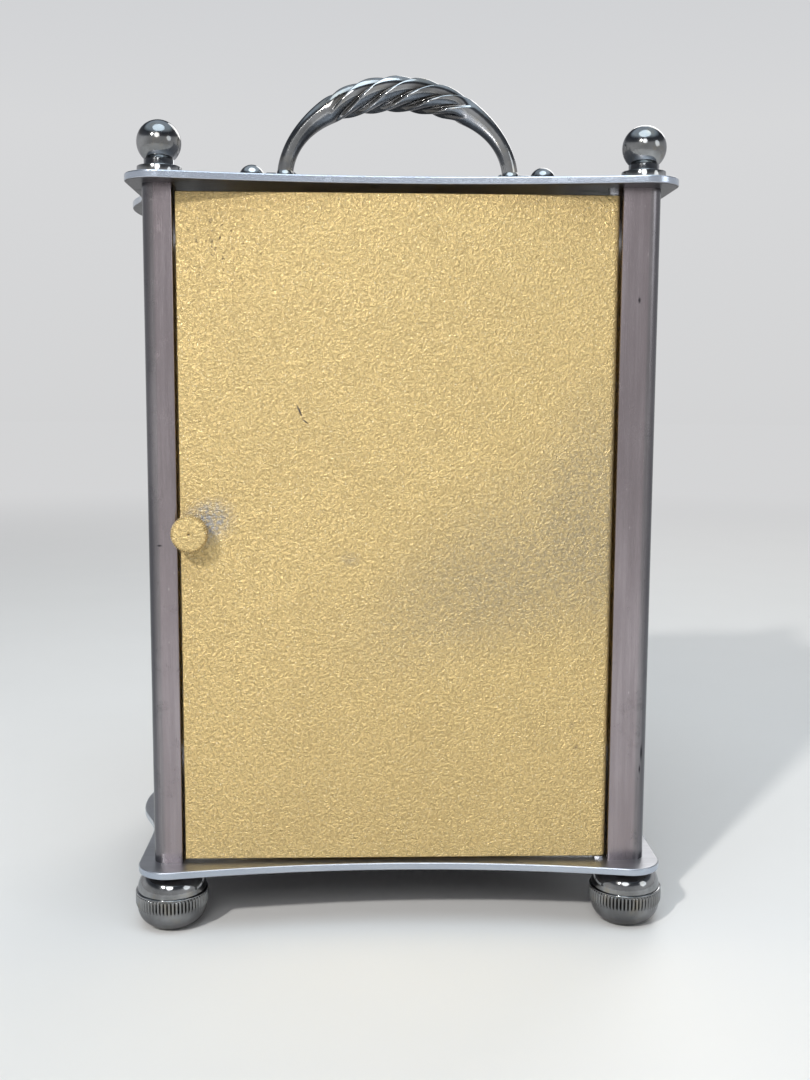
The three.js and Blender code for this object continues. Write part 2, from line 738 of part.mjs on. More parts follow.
function makeHandle() {
  const over = 1;
  const eye = (side) => turnedX([
    [0, -eyeLength / 2], [eyeRadius, -eyeLength / 2], [eyeRadius, eyeLength / 2], [0, eyeLength / 2],
  ], 12).translate(side * handleHalfSpan, 0, 0);
  const hole = (side) => turnedX([
    [0, -eyeLength / 2 - over],
    [bore(pivotScrewRadius, runningGap, 12), -eyeLength / 2 - over],
    [bore(pivotScrewRadius, runningGap, 12), eyeLength / 2 + over],
    [0, eyeLength / 2 + over],
  ], 12).translate(side * handleHalfSpan, 0, 0);
  const handle = cut(join(handleBar(), eye(-1), eye(1)), hole(-1), hole(1));
  add('handle', 'platedBrass', handle, 0, 0, handlePivotZ);
  const holeRadius = bore(pivotScrewRadius, seat, 12);
  const screwEnd = postX + postBallRadius / 2;
  const post = turnedZ([
    [0, -plateThickness],
    [postSpigotRadius, -plateThickness],
    [postSpigotRadius, 0],
    [postCollarRadius, 0],
    [postCollarRadius, postCollarHeight * 0.6],
    [postStemRadius, postCollarHeight],
    ...ballProfile(handlePivotRise, postBallRadius, postStemRadius, 5),
  ], 10);
  const eyeOutside = handleHalfSpan + eyeLength / 2;
  const eyeInside = handleHalfSpan - eyeLength / 2;
  const shoulderEnd = postX - postBallRadius - seat;
  for (const [name, side] of [['left', -1], ['right', 1]]) {
    const screwHole = turnedX([
      [0, 0], [holeRadius, 0], [holeRadius, screwEnd + seat], [0, screwEnd + seat],
    ], 12).translate(-postX, 0, handlePivotRise);
    const drilled = cut(post, screwHole).scale(side, 1, 1);
    add(`handle_post_${name}`, 'platedBrass', drilled, side * postX, 0, clockTop);
    const screw = turnedX([
      [0, eyeInside - seat - 1.0],
      [1.7, eyeInside - seat - 1.0],
      [1.9, eyeInside - seat],
      [pivotScrewRadius, eyeInside - seat],
      [pivotScrewRadius, eyeOutside + seat],
      [1.7, eyeOutside + seat],
      [1.7, shoulderEnd],
      [pivotScrewRadius, shoulderEnd],
      [pivotScrewRadius, screwEnd],
      [0, screwEnd],
    ], rodSides).scale(side, 1, 1);
    add(`handle_screw_${name}`, 'platedBrass', screw, 0, 0, handlePivotZ);
  }
}

// ---------------------------------------------------------------- back door
function makeDoor() {
  const over = 1;
  const outline = new THREE.Shape();
  outline.moveTo(doorAxisX, doorInside);
  outline.lineTo(doorFreeEdge, doorInside);
  outline.lineTo(doorFreeEdge, doorOutside - doorEase);
  outline.lineTo(doorFreeEdge - doorEase, doorOutside);
  outline.lineTo(doorAxisX, doorOutside);
  outline.absarc(doorAxisX, doorAxisY, doorThickness / 2, Math.PI / 2, Math.PI * 1.5, false);
  const pinHole = (low, high) => (
    rodZ(bore(doorPinRadius, runningGap, 12), low, high, 12).translate(doorAxisX, doorAxisY, 0)
  );
  const shaftHole = rodY(bore(knobShaftRadius, runningGap, 12), doorInside - over, doorOutside + over, 12);
  const door = cut(
    raisedZ(outline, doorBottom, doorTop, 4),
    block(
      [doorAxisX + doorRim, doorInside - over, doorBottom + doorRim],
      [knobX - knobNeckRadius - doorRim, doorOutside - doorSkin, doorTop - doorRim],
    ),
    pinHole(doorBottom - over, doorBottom + doorPinInDoor + seat),
    pinHole(doorTop - doorPinInDoor - seat, doorTop + over),
    shaftHole.translate(knobX, 0, knobZ),
  );
  add('back_door', 'crinkleGold', door);
  const pinCollar = 1.5;
  const bottomPin = turnedZ([
    [0, caseBottom - doorPinInPlate],
    [doorPinRadius, caseBottom - doorPinInPlate],
    [doorPinRadius, caseBottom],
    [pinCollar, caseBottom],
    [pinCollar, doorBottom - runningGap],
    [doorPinRadius, doorBottom - runningGap],
    [doorPinRadius, doorBottom + doorPinInDoor],
    [0, doorBottom + doorPinInDoor],
  ], rodSides);
  add('hinge_pin_bottom', 'steel', bottomPin, doorAxisX, doorAxisY, 0);
  const topPin = turnedZ([
    [0, doorTop - doorPinInDoor],
    [doorPinRadius, doorTop - doorPinInDoor],
    [doorPinRadius, doorTop + runningGap],
    [pinCollar, doorTop + runningGap],
    [pinCollar, caseTop],
    [doorPinRadius, caseTop],
    [doorPinRadius, caseTop + doorPinInPlate],
    [0, caseTop + doorPinInPlate],
  ], rodSides);
  add('hinge_pin_top', 'steel', topPin, doorAxisX, doorAxisY, 0);
}

function makeKnob() {
  const discLow = doorOutside + knobStandOff;
  const discHigh = discLow + knobThickness;
  const faceRadius = knobRadius - knobToothDepth - 0.2;
  const knobDimple = 0.35;
  const shaft = turnedY([
    [0, latchLow],
    [knobShaftRadius, latchLow],
    [knobShaftRadius, doorOutside + runningGap],
    [knobNeckRadius, doorOutside + runningGap],
    [knobNeckRadius, discLow + knobRimInset],
    [faceRadius, discLow + knobRimInset],
    [faceRadius, discHigh + knobRimInset],
    [knobDimple, discHigh + knobRimInset],
    [0, discHigh + knobRimInset - knobDimple],
  ], 16);
  const rim = raisedY(knurlShape(knobTeeth, knobRadius, knobRadius - knobToothDepth), discLow, discHigh);
  add('door_knob', 'crinkleGold', join(shaft, rim), knobX, 0, knobZ);
  const tongue = new THREE.Shape();
  const half = latchWidth / 2;
  const boss = half + 1.2;
  const below = Math.acos(half / boss);
  tongue.moveTo(half, -latchLength + 0.6);
  tongue.absarc(0, 0, boss, -below, Math.PI + below, false);
  tongue.lineTo(-half, -latchLength + 0.6);
  tongue.lineTo(-half + 0.6, -latchLength);
  tongue.lineTo(half - 0.6, -latchLength);
  tongue.closePath();
  // The tongue turns on the inside of the case, until it lies behind the pillar.
  const latch = cut(
    raisedY(tongue, latchLow, latchHigh, 4),
    rodY(bore(knobShaftRadius, seat, 12), latchLow - 1, latchHigh + 1, 12),
  );
  add('door_latch', 'brass', latch, knobX, 0, knobZ);
}

// ---------------------------------------------------------------- glass
// A pane in the XZ plane with a bevel on its -Y face, centred on its own middle.
function pane(width, height) {
  const rings = [
    [width / 2, height / 2, glassEdge / 2],
    [width / 2, height / 2, -glassEdge / 2],
    [width / 2 - glassBevel, height / 2 - glassBevel, glassEdge / 2 - glassThickness],
  ];
  const positions = [];
  for (const [x, z, y] of rings) {
    positions.push(-x, y, -z, x, y, -z, x, y, z, -x, y, z);
  }
  const index = [2, 1, 0, 3, 2, 0, 8, 9, 10, 8, 10, 11];
  for (const ring of [0, 4]) {
    for (let j = 0; j < 4; j += 1) {
      const [a, b] = [ring + j, ring + (j + 1) % 4];
      index.push(a, b, b + 4, a, b + 4, a + 4);
    }
  }
  const geometry = new THREE.BufferGeometry();
  geometry.setAttribute('position', new THREE.Float32BufferAttribute(positions, 3));
  geometry.setIndex(index);
  return geometry;
}

function makeGlass() {
  const height = pillarHeight - 2 * seat;
  const middleZ = (caseBottom + caseTop) / 2;
  const sideWidth = 2 * (pillarFront + grooveDepth - seat);
  const frontWidth = 2 * (innerX + grooveDepth - seat);
  const turn = Math.PI / 2;
  add('glass_front', 'glass', pane(frontWidth, height), 0, frontGlassY, middleZ);
  add('glass_right', 'glass', pane(sideWidth, height).rotateZ(turn), sideGlassX, 0, middleZ);
  add('glass_left', 'glass', pane(sideWidth, height).rotateZ(-turn), -sideGlassX, 0, middleZ);
}

// ---------------------------------------------------------------- dial and hands
function makeDial() {
  const over = 1;
  const edgeX = innerX - dialSideGap;
  const low = caseBottom + dialEndGap - centreZ;
  const high = caseTop - dialEndGap - centreZ;
  const face = dialY - dialThickness;
  const feet = [];
  for (const x of [-dialFootX, dialFootX]) {
    for (const z of [-dialFootZ, dialFootZ]) {
      const foot = rodY(dialFootRadius, dialY - dialThickness / 2, frontPlateY, rodSides);
      feet.push(foot.translate(x, 0, z));
    }
  }
  const sheet = block([-edgeX, face, low], [edgeX, dialY, high]);
  const middle = rodY(dialHole, face - over, dialY + over, 16);
  add('dial_plate', 'brass', cut(join(sheet, ...feet), middle), 0, 0, centreZ);
  const disc = turnedY([
    [dialHole, face - discThickness],
    [discRadius, face - discThickness],
    [discRadius, face],
    [dialHole, face],
    [dialHole, face - discThickness],
  ], 36);
  add('dial_disc', 'dialWhite', disc, 0, 0, centreZ);
}

// A hand along +Z with a round boss at its pivot.
function handShape(length, width, boss) {
  const shape = new THREE.Shape();
  const shoulder = length * 0.62;
  const rootAngle = Math.asin(width * 0.3 / boss);
  shape.moveTo(boss * Math.sin(rootAngle), boss * Math.cos(rootAngle));
  shape.lineTo(width * 0.3, shoulder * 0.55);
  shape.lineTo(width / 2, shoulder);
  shape.lineTo(0.2, length);
  shape.lineTo(-0.2, length);
  shape.lineTo(-width / 2, shoulder);
  shape.lineTo(-width * 0.3, shoulder * 0.55);
  shape.absarc(0, 0, boss, Math.PI / 2 + rootAngle, Math.PI * 2.5 - rootAngle, false);
  return shape;
}

function makeHands() {
  const layers = [
    ['hour_hand', hourHandLength, 5.0, 3.9, hourPipeRadius, hourHandBack, hourAngle],
    ['minute_hand', minuteHandLength, 4.0, 3.2, pivotRadius, minuteHandBack, minuteAngle],
  ];
  for (const [name, length, width, boss, pipe, back, angle] of layers) {
    const hand = cut(
      raisedY(handShape(length, width, boss), back - handThickness, back, 5),
      rodY(bore(pipe, seat, 12), back - 2, back + 2, 12),
    );
    hand.rotateY(THREE.MathUtils.degToRad(angle));
    add(name, 'bluedSteel', hand, 0, 0, centreZ);
  }
}

// ---------------------------------------------------------------- movement
function makeMovementPlates() {
  const over = 1;
  const frontLow = frontPlateY - movementPlate;
  const backLow = backPlateY - movementPlate;
  const boltSpots = [];
  for (const x of [-boltX, boltX]) {
    for (const z of [boltLow, boltHigh]) {
      boltSpots.push([x, z]);
    }
  }
  const drill = (radius, gap, low, high, x, z) => (
    rodY(bore(radius, gap, 8), low - over, high + over, 8).translate(x, 0, z)
  );
  const arborHoles = (low, high, centreRadius, barrelRadius) => [
    drill(centreRadius, runningGap, low, high, 0, centreZ),
    drill(barrelRadius, runningGap, low, high, 0, barrelZ),
    drill(pivotRadius, runningGap, low, high, thirdX, thirdZ),
  ];
  const sheet = (low, high) => block(
    [-movementHalfWidth, low, caseBottom],
    [movementHalfWidth, high, movementTop],
  );
  const shoulders = boltSpots.map(([x, z]) => turnedY([
    [0, frontPlateY - movementPlate / 2],
    [movementPillarRadius, frontPlateY - movementPlate / 2],
    [movementPillarRadius, backLow],
    [spigotRadius, backLow],
    [spigotRadius, backPlateY],
    [0, backPlateY],
  ], 8).translate(x, 0, z));
  const dialFootHoles = [];
  for (const x of [-dialFootX, dialFootX]) {
    for (const z of [-dialFootZ, dialFootZ]) {
      dialFootHoles.push(drill(dialFootRadius, seat, frontLow, frontPlateY, x, centreZ + z));
    }
  }
  const front = cut(
    join(sheet(frontLow, frontPlateY), ...shoulders),
    ...arborHoles(frontLow, frontPlateY, arborRadius, barrelArborRadius * arborPivotShare),
    ...dialFootHoles,
    drill(pivotRadius, runningGap, frontLow, frontPlateY, minuteWheelX, centreZ),
  );
  add('movement_front_plate', 'brass', front);
  const back = cut(
    sheet(backLow, backPlateY),
    ...arborHoles(backLow, backPlateY, arborRadius, barrelArborRadius),
    ...boltSpots.map(([x, z]) => drill(spigotRadius, seat, backLow, backPlateY, x, z)),
  );
  add('movement_back_plate', 'brass', back);
}

function makeMountingBars() {
  const low = frontPlateY + seat;
  const high = backInside - seat;
  const middle = movementMiddleY;
  const hole = bore(baseScrewRadius, seat, rodSides);
  for (const [name, side] of [['left', -1], ['right', 1]]) {
    const bar = cut(
      block(
        [-barWidth / 2, low - middle, caseBottom],
        [barWidth / 2, high - middle, caseBottom + barHeight],
      ),
      rodZ(hole, caseBottom - 1, caseBottom + barHeight - 1, rodSides),
    );
    add(`mounting_bar_${name}`, 'brass', bar, side * barX, middle, 0);
    const screw = turnedZ([
      [0, basePlateBottom - baseScrewHeadHeight],
      [baseScrewHead * 0.8, basePlateBottom - baseScrewHeadHeight],
      [baseScrewHead, basePlateBottom - baseScrewHeadHeight * 0.6],
      [baseScrewHead, basePlateBottom],
      [baseScrewRadius, basePlateBottom],
      [baseScrewRadius, caseBottom + barHeight - 1 - seat],
      [0, caseBottom + barHeight - 1 - seat],
    ], 12);
    add(`base_screw_${name}`, 'steel', screw, side * barX, middle, 0);
  }
}

// The barrel's toothed rim is at its front, in line with the centre pinion.
function makeBarrel(rimLow, rimHigh, turn) {
  const drumBack = rimLow + barrelDrumLength;
  const drum = turnedY([
    [0, rimLow + 0.2],
    [barrelDrumRadius, rimLow + 0.2],
    [barrelDrumRadius, drumBack],
    [barrelBossRadius, drumBack],
    [barrelBossRadius, drumBack + barrelBossRise],
    [0, drumBack + barrelBossRise],
  ], 24);
  const rim = gear(barrelTeeth, barrelModule, rimLow, rimHigh, turn);
  const arborHole = rodY(bore(barrelArborRadius, runningGap, 12), frontPlateY, backInside, 12);
  add('mainspring_barrel', 'brass', cut(join(drum, rim), arborHole), 0, 0, barrelZ);
}

// The barrel's arbor ends in a square that takes the key. The ratchet wheel sits on its shoulder.
function makeWinding() {
  const pivot = barrelArborRadius * arborPivotShare;
  const shoulderEnd = backPlateY + arborShoulder;
  const squareEnd = backPlateY + arborSquareLength;
  const squareHalf = barrelArborRadius * arborSquareShare;
  const body = turnedY([
    [0, frontPlateY - movementPlate],
    [pivot, frontPlateY - movementPlate],
    [pivot, frontPlateY + runningGap],
    [barrelArborRadius, frontPlateY + runningGap],
    [barrelArborRadius, shoulderEnd],
    [0, shoulderEnd],
  ], 12);
  const square = block([-squareHalf, shoulderEnd - 1, -squareHalf], [squareHalf, squareEnd, squareHalf]);
  add('barrel_arbor', 'steel', join(body, square), 0, 0, barrelZ);

  const ratchetLow = backPlateY + runningGap;
  const ratchetHigh = ratchetLow + ratchetThickness;
  const rootRadius = ratchetRadius - ratchetToothDepth;
  const teeth = toothedShape(ratchetTeeth, ratchetRadius, rootRadius, 0.96, 0, ratchetLean);
  const ratchet = cut(
    raisedY(teeth, ratchetLow, ratchetHigh),
    rodY(bore(barrelArborRadius, seat, 12), backPlateY, shoulderEnd, 12),
  );
  add('ratchet_wheel', 'steel', ratchet, 0, 0, barrelZ);

  // The click hangs from its screw, with its tip just clear of the ratchet's teeth.
  const clickZ = barrelZ + ratchetRadius + clickLength + seat;
  const click = cut(
    join(
      rodY(clickBossRadius, ratchetLow, ratchetHigh, 12),
      block([-clickWidth / 2, ratchetLow, -clickLength], [clickWidth / 2, ratchetHigh, 0]),
    ),
    rodY(bore(clickScrewRadius, seat, 12), backPlateY, shoulderEnd, 12),
  );
  add('click', 'steel', click, 0, 0, clickZ);
  const headLow = ratchetHigh + seat;
  const screw = turnedY([
    [0, backPlateY],
    [clickScrewRadius, backPlateY],
    [clickScrewRadius, headLow],
    [clickScrewHead, headLow],
    [clickScrewHead, headLow + clickScrewHeadHeight],
    [0, headLow + clickScrewHeadHeight],
  ], 12);
  add('click_screw', 'steel', screw, 0, 0, clickZ);
  makeKey(squareHalf, squareEnd);
}

// The key has a round stem with a square socket, and two wings.
function makeKey(squareHalf, squareEnd) {
  const low = backPlateY + keyStandOff;
  const socketEnd = low + keySocketLength;
  const wingLow = low + keyLength * 0.55;
  const thin = keyStemRadius * 0.7;
  const stem = turnedY([
    [0, low],
    [keyStemRadius, low],
    [keyStemRadius, socketEnd],
    [thin, socketEnd + 1],
    [thin, wingLow + 3],
    [0, wingLow + 3],
  ], 16);
  const span = keyWingSpan;
  const wings = new THREE.Shape();
  wings.moveTo(-2, 0);
  wings.lineTo(2, 0);
  wings.bezierCurveTo(span * 0.7, 0, span, 2, span, keyLength * 0.25);
  wings.bezierCurveTo(span, keyLength * 0.42, span * 0.4, keyLength * 0.46, 0, keyLength * 0.3);
  wings.bezierCurveTo(-span * 0.4, keyLength * 0.46, -span, keyLength * 0.42, -span, keyLength * 0.25);
  wings.bezierCurveTo(-span, 2, -span * 0.7, 0, -2, 0);
  const plate = raisedZ(wings, -keyWingThickness / 2, keyWingThickness / 2, 4);
  const socket = block(
    [-squareHalf - seat, low - 1, -squareHalf - seat],
    [squareHalf + seat, squareEnd + seat, squareHalf + seat],
  );
  add('winding_key', 'brass', cut(join(stem, plate.translate(0, wingLow, 0)), socket), 0, 0, barrelZ);
}

function makeTrain() {
  const centreTurn = THREE.MathUtils.degToRad(90);
  const rimLow = frontPlateY + barrelRimInset;
  const rimHigh = rimLow + barrelWheelThickness;
  const rimOver = 0.6;
  makeBarrel(rimLow, rimHigh, meshTurn(centrePinionTeeth, centreTurn, barrelTeeth, -Math.PI / 2));
  makeWinding();

  // The centre arbor carries the minute hand at the front and the setting knob at the back.
  const frontEnd = minuteHandBack - 2 * handThickness;
  const frontShoulder = frontPlateY - movementPlate - runningGap;
  const backEnd = backPlateY + setKnobEnd;
  const arbor = turnedY([
    [0, frontEnd],
    [pivotRadius, frontEnd],
    [pivotRadius, frontShoulder],
    [arborRadius, frontShoulder],
    [arborRadius, backEnd],
    [0, backEnd],
  ], 8);
  const pinion = gear(centrePinionTeeth, barrelModule, rimLow - rimOver, rimHigh + rimOver, centreTurn);
  const wheelLow = backInside - centreWheelInset;
  const wheelHigh = wheelLow + wheelThickness;
  const wheel = gear(centreTeeth, centreModule, wheelLow, wheelHigh, centreTurn, centreHubRadius + 1.5);
  const hub = rodY(centreHubRadius, wheelLow - hubRise, wheelHigh + hubRise, 8);
  add('centre_wheel', 'brass', join(arbor, pinion, wheel, hub), 0, 0, centreZ);

  const knurl = knurlShape(setKnobTeeth, setKnobRadius, setKnobRadius - 0.3);
  const setKnob = cut(
    raisedY(knurl, backPlateY + setKnobStandOff, backEnd),
    rodY(bore(arborRadius, seat, 12), backPlateY, backEnd + 1, 12),
  );
  add('setting_knob', 'brass', setKnob, 0, 0, centreZ);

  const direction = THREE.MathUtils.degToRad(thirdDirection);
  const thirdTurn = meshTurn(centreTeeth, centreTurn, thirdPinionTeeth, direction);
  const thirdLow = frontPlateY + thirdWheelInset;
  const thirdHigh = thirdLow + wheelThickness;
  const thirdArbor = turnedY([
    [0, frontPlateY - movementPlate],
    [pivotRadius, frontPlateY - movementPlate],
    [pivotRadius, frontPlateY + runningGap],
    [arborRadius, frontPlateY + runningGap],
    [arborRadius, backInside - runningGap],
    [pivotRadius, backInside - runningGap],
    [pivotRadius, backPlateY],
    [0, backPlateY],
  ], 8);
  const thirdPinion = gear(thirdPinionTeeth, centreModule, wheelLow - 1, wheelHigh + 1.2, thirdTurn);
  const thirdWheel = gear(thirdTeeth, thirdModule, thirdLow, thirdHigh, 0, thirdHubRadius + 1.4);
  const thirdHub = rodY(thirdHubRadius, thirdLow - hubRise, thirdHigh + hubRise, 8);
  const third = join(thirdArbor, thirdPinion, thirdWheel, thirdHub);
  add('third_wheel', 'brass', third, thirdX, 0, thirdZ);
}

function makeMotionWork() {
  const start = THREE.MathUtils.degToRad(90);
  const minuteHigh = frontPlateY - movementPlate - motionClear;
  const minuteLow = minuteHigh - motionThickness;
  const hourHigh = minuteLow - motionStep;
  const hourLow = hourHigh - motionThickness;
  const hourFront = hourHandBack - handThickness;
  const over = 0.4;

  const cannon = cut(
    join(
      gear(cannonTeeth, cannonModule, minuteLow - over, minuteHigh + over, start),
      rodY(cannonPipeRadius, hourFront - over, minuteHigh, 12),
    ),
    rodY(bore(pivotRadius, seat, 12), hourFront - 2, minuteHigh + 2, 12),
  );
  add('cannon_pinion', 'steel', cannon, 0, 0, centreZ);

  const minuteTurn = meshTurn(cannonTeeth, start, minuteWheelTeeth, 0);
  const minuteWheel = join(
    gear(minuteWheelTeeth, cannonModule, minuteLow, minuteHigh, minuteTurn),
    gear(minutePinionTeeth, hourModule, hourLow - over / 2, minuteLow + over / 2, 0),
    rodY(pivotRadius, hourLow - over, frontPlateY, 8),
  );
  add('minute_wheel', 'brass', minuteWheel, minuteWheelX, 0, centreZ);

  const hourTurn = meshTurn(minutePinionTeeth, 0, hourWheelTeeth, Math.PI);
  const hourWheel = cut(
    join(
      gear(hourWheelTeeth, hourModule, hourLow, hourHigh, hourTurn),
      rodY(hourPipeRadius, hourFront, hourLow + motionThickness / 2, 10),
    ),
    rodY(bore(cannonPipeRadius, runningGap, 10), hourFront - 2, hourHigh + 2, 10),
  );
  add('hour_wheel', 'brass', hourWheel, 0, 0, centreZ);
}

// ---------------------------------------------------------------- escapement
function makeEscapement() {
  const low = frontPlateY - movementPlate;
  const high = backPlateY;
  const middle = (low + high) / 2;
  const level = movementTop + platformThickness;
  const staffHole = rodZ(bore(staffRadius, runningGap, 8), level - 0.9, level + 1, 8).translate(0, middle, 0);
  const platform = cut(
    block([-platformHalfWidth, low, movementTop], [platformHalfWidth, high, level]),
    staffHole,
  );
  add('escapement_platform', 'brass', platform);
  const caseFront = frontPlateY + seat;
  const caseBack = backInside - seat;
  const escapementCase = block(
    [-escapementHalfWidth, caseFront, movementTop - escapementHeight],
    [escapementHalfWidth, caseBack, movementTop],
  );
  add('escapement_case', 'brass', escapementCase);

  const rimLow = level + balanceRise;
  const rimShape = new THREE.Shape();
  rimShape.absarc(0, 0, balanceRadius, 0, 2 * Math.PI, false);
  addWindows(rimShape, 3, 2.0, balanceRadius - balanceRimWidth, 1.6);
  const wheel = raisedZ(rimShape, rimLow, rimLow + balanceRimThickness, 5);
  const cockLow = level + cockRise;
  const staff = turnedZ([
    [0, level - 0.7],
    [staffRadius, level - 0.7],
    [staffRadius, rimLow - 1],
    [1.3, rimLow - 1],
    [1.3, rimLow + balanceRimThickness + 1],
    [staffRadius, rimLow + balanceRimThickness + 1],
    [staffRadius, cockLow + 0.8],
    [0, cockLow + 0.8],
  ], 8);
  add('balance_wheel', 'brass', join(wheel, staff), 0, middle, 0);

  const cockFoot = balanceRadius + 1;
  const cock = cut(
    join(
      block([cockFoot, -cockWidth / 2, level], [platformHalfWidth, cockWidth / 2, cockLow + cockThickness]),
      block([-0.5, -cockWidth / 2, cockLow], [platformHalfWidth, cockWidth / 2, cockLow + cockThickness]),
      rodZ(cockWidth / 2, cockLow, cockLow + cockThickness, 16),
    ),
    rodZ(bore(staffRadius, runningGap, 8), cockLow - 1, cockLow + 1.1, 8),
  );
  add('balance_cock', 'steel', cock, 0, middle, 0);
}

makePlates();
makePillars();
makeCorners();
makeHandle();
makeDoor();
makeKnob();
makeGlass();
makeDial();
makeHands();
makeMovementPlates();
makeMountingBars();
makeTrain();
makeMotionWork();
makeEscapement();

export default clock;
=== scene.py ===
# A four pillar bracket clock with a rope twisted carrying handle, seen from its back.
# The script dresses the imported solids, in metres, in their own frame: +Z up, dial towards -Y.
import math

import bpy
from bpy.props import FloatProperty, FloatVectorProperty, IntProperty, PointerProperty
from mathutils import Matrix, Vector


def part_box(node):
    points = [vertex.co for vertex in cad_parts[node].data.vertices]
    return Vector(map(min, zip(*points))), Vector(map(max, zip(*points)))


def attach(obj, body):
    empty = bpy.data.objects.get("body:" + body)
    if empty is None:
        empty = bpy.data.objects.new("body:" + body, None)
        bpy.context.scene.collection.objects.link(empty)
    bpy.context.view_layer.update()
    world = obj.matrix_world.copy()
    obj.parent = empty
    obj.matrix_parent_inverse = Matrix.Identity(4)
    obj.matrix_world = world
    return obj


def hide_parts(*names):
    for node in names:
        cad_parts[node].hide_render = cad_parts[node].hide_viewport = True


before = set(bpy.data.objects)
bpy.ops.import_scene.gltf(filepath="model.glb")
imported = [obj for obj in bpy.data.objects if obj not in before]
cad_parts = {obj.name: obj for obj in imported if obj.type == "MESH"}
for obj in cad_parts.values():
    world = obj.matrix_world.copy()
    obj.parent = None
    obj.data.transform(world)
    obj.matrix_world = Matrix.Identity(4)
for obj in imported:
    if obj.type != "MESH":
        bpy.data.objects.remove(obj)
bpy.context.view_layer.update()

bl_info = {
    "name": "Bracket clock",
    "version": (1, 0, 0),
    "blender": (4, 5, 0),
    "location": "View3D > Sidebar > Bracket clock",
    "description": "Dresses the solids of a four pillar bracket clock with smooth pieces and metal finishes",
    "category": "Add Mesh",
}

MM = 0.001
TURN = 2 * math.pi
HORIZON = (0.66, 0.663, 0.67, 1)
CORNERS = {
    "front_left": (-1, -1),
    "front_right": (1, -1),
    "back_left": (-1, 1),
    "back_right": (1, 1),
}


# ---------------------------------------------------------------- places on the solids, in millimetres
def corners_of(node):
    """Lowest and highest corner of a node, in millimetres."""
    low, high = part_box(node)
    return low / MM, high / MM


def middle_of(node):
    """Middle of a node's box, in millimetres."""
    return [sum(pair) / 2 for pair in zip(*corners_of(node))]


BASE_LOW, BASE_HIGH = (corner.z for corner in corners_of("base_plate"))
TOP_LOW, TOP_HIGH = (corner.z for corner in corners_of("top_plate"))
EAR_X, LOBE_Y, _ = corners_of("top_plate")[1]
PILLAR_X, PILLAR_Y, _ = middle_of("foot_back_right")
FOOT_LOW, FOOT_HIGH = corners_of("foot_back_right")
FOOT_RADIUS = (FOOT_HIGH.x - FOOT_LOW.x) / 2
BALL_TOP = corners_of("finial_back_right")[1].z
DOOR_LOW, DOOR_HIGH = corners_of("back_door")
KNOB_X, _, KNOB_Z = middle_of("door_knob")
KNOB_LOW, KNOB_HIGH = corners_of("door_knob")
LATCH_LOW, LATCH_HIGH = corners_of("door_latch")
POST_X = middle_of("handle_post_right")[0]
PIVOT_RISE = 8.0
PIVOT_Z = TOP_HIGH + PIVOT_RISE
HANDLE_HALF_SPAN = 32.8
# how far a pillar reaches inwards from its axis; the door hangs on the wider one
PILLAR_INNER, HINGE_PILLAR_INNER = 3.5, 5.8
SIDE_GLASS_X, FRONT_GLASS_Y = 62.0, 50.1
DIAL_Z = middle_of("dial_disc")[2]
DISC_LOW, DISC_HIGH = corners_of("dial_disc")
NUMERAL_RING, MINUTE_RING = 34.0, 41.1
BACK_PLATE_LOW, BACK_PLATE_HIGH = corners_of("movement_back_plate")
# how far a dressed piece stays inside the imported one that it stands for
INSIDE = 0.02

# dark scars on the pillars: their middles and half lengths
SCARS = (((-64.0, 52.0, 47.5), (0.5, 2.0, 3.2)), ((-63.6, 52.0, 43.0), (0.35, 2.0, 1.6)),
         ((62.4, 52.0, 103.0), (1.0, 2.0, 0.4)), ((-60.2, 52.0, 166.0), (0.5, 2.0, 1.1)))


# ---------------------------------------------------------------- modelling helpers
def begin():
    """Leaves edit mode and deselects everything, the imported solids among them."""
    if bpy.context.mode != "OBJECT":
        bpy.ops.object.mode_set(mode="OBJECT")
    bpy.ops.object.select_all(action="DESELECT")


def activate(piece):
    """Makes a piece the active one and the only one selected."""
    begin()
    piece.select_set(True)
    bpy.context.view_layer.objects.active = piece


def face_out():
    """Turns every face of the active piece outwards and leaves edit mode."""
    bpy.ops.object.mode_set(mode="EDIT")
    bpy.ops.mesh.select_all(action="SELECT")
    bpy.ops.mesh.normals_make_consistent(inside=False)
    bpy.ops.object.mode_set(mode="OBJECT")


def finished(piece, name, smooth=32):
    """Names a piece, gives it smooth shading and puts its place into its mesh."""
    activate(piece)
    piece.name = name
    piece.data.name = name
    bpy.ops.object.transform_apply(location=True, rotation=True, scale=True)
    if smooth:
        bpy.ops.object.shade_smooth_by_angle(angle=math.radians(smooth))
    return piece


def dressed(piece, material, body, slot, *nodes):
    """Gives a piece its finish and its body, and says which solids it stands for."""
    piece.data.materials.clear()
    piece.data.materials.append(bpy.data.materials[material])
    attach(piece, body)
    if nodes:
        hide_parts(*nodes)
    return piece


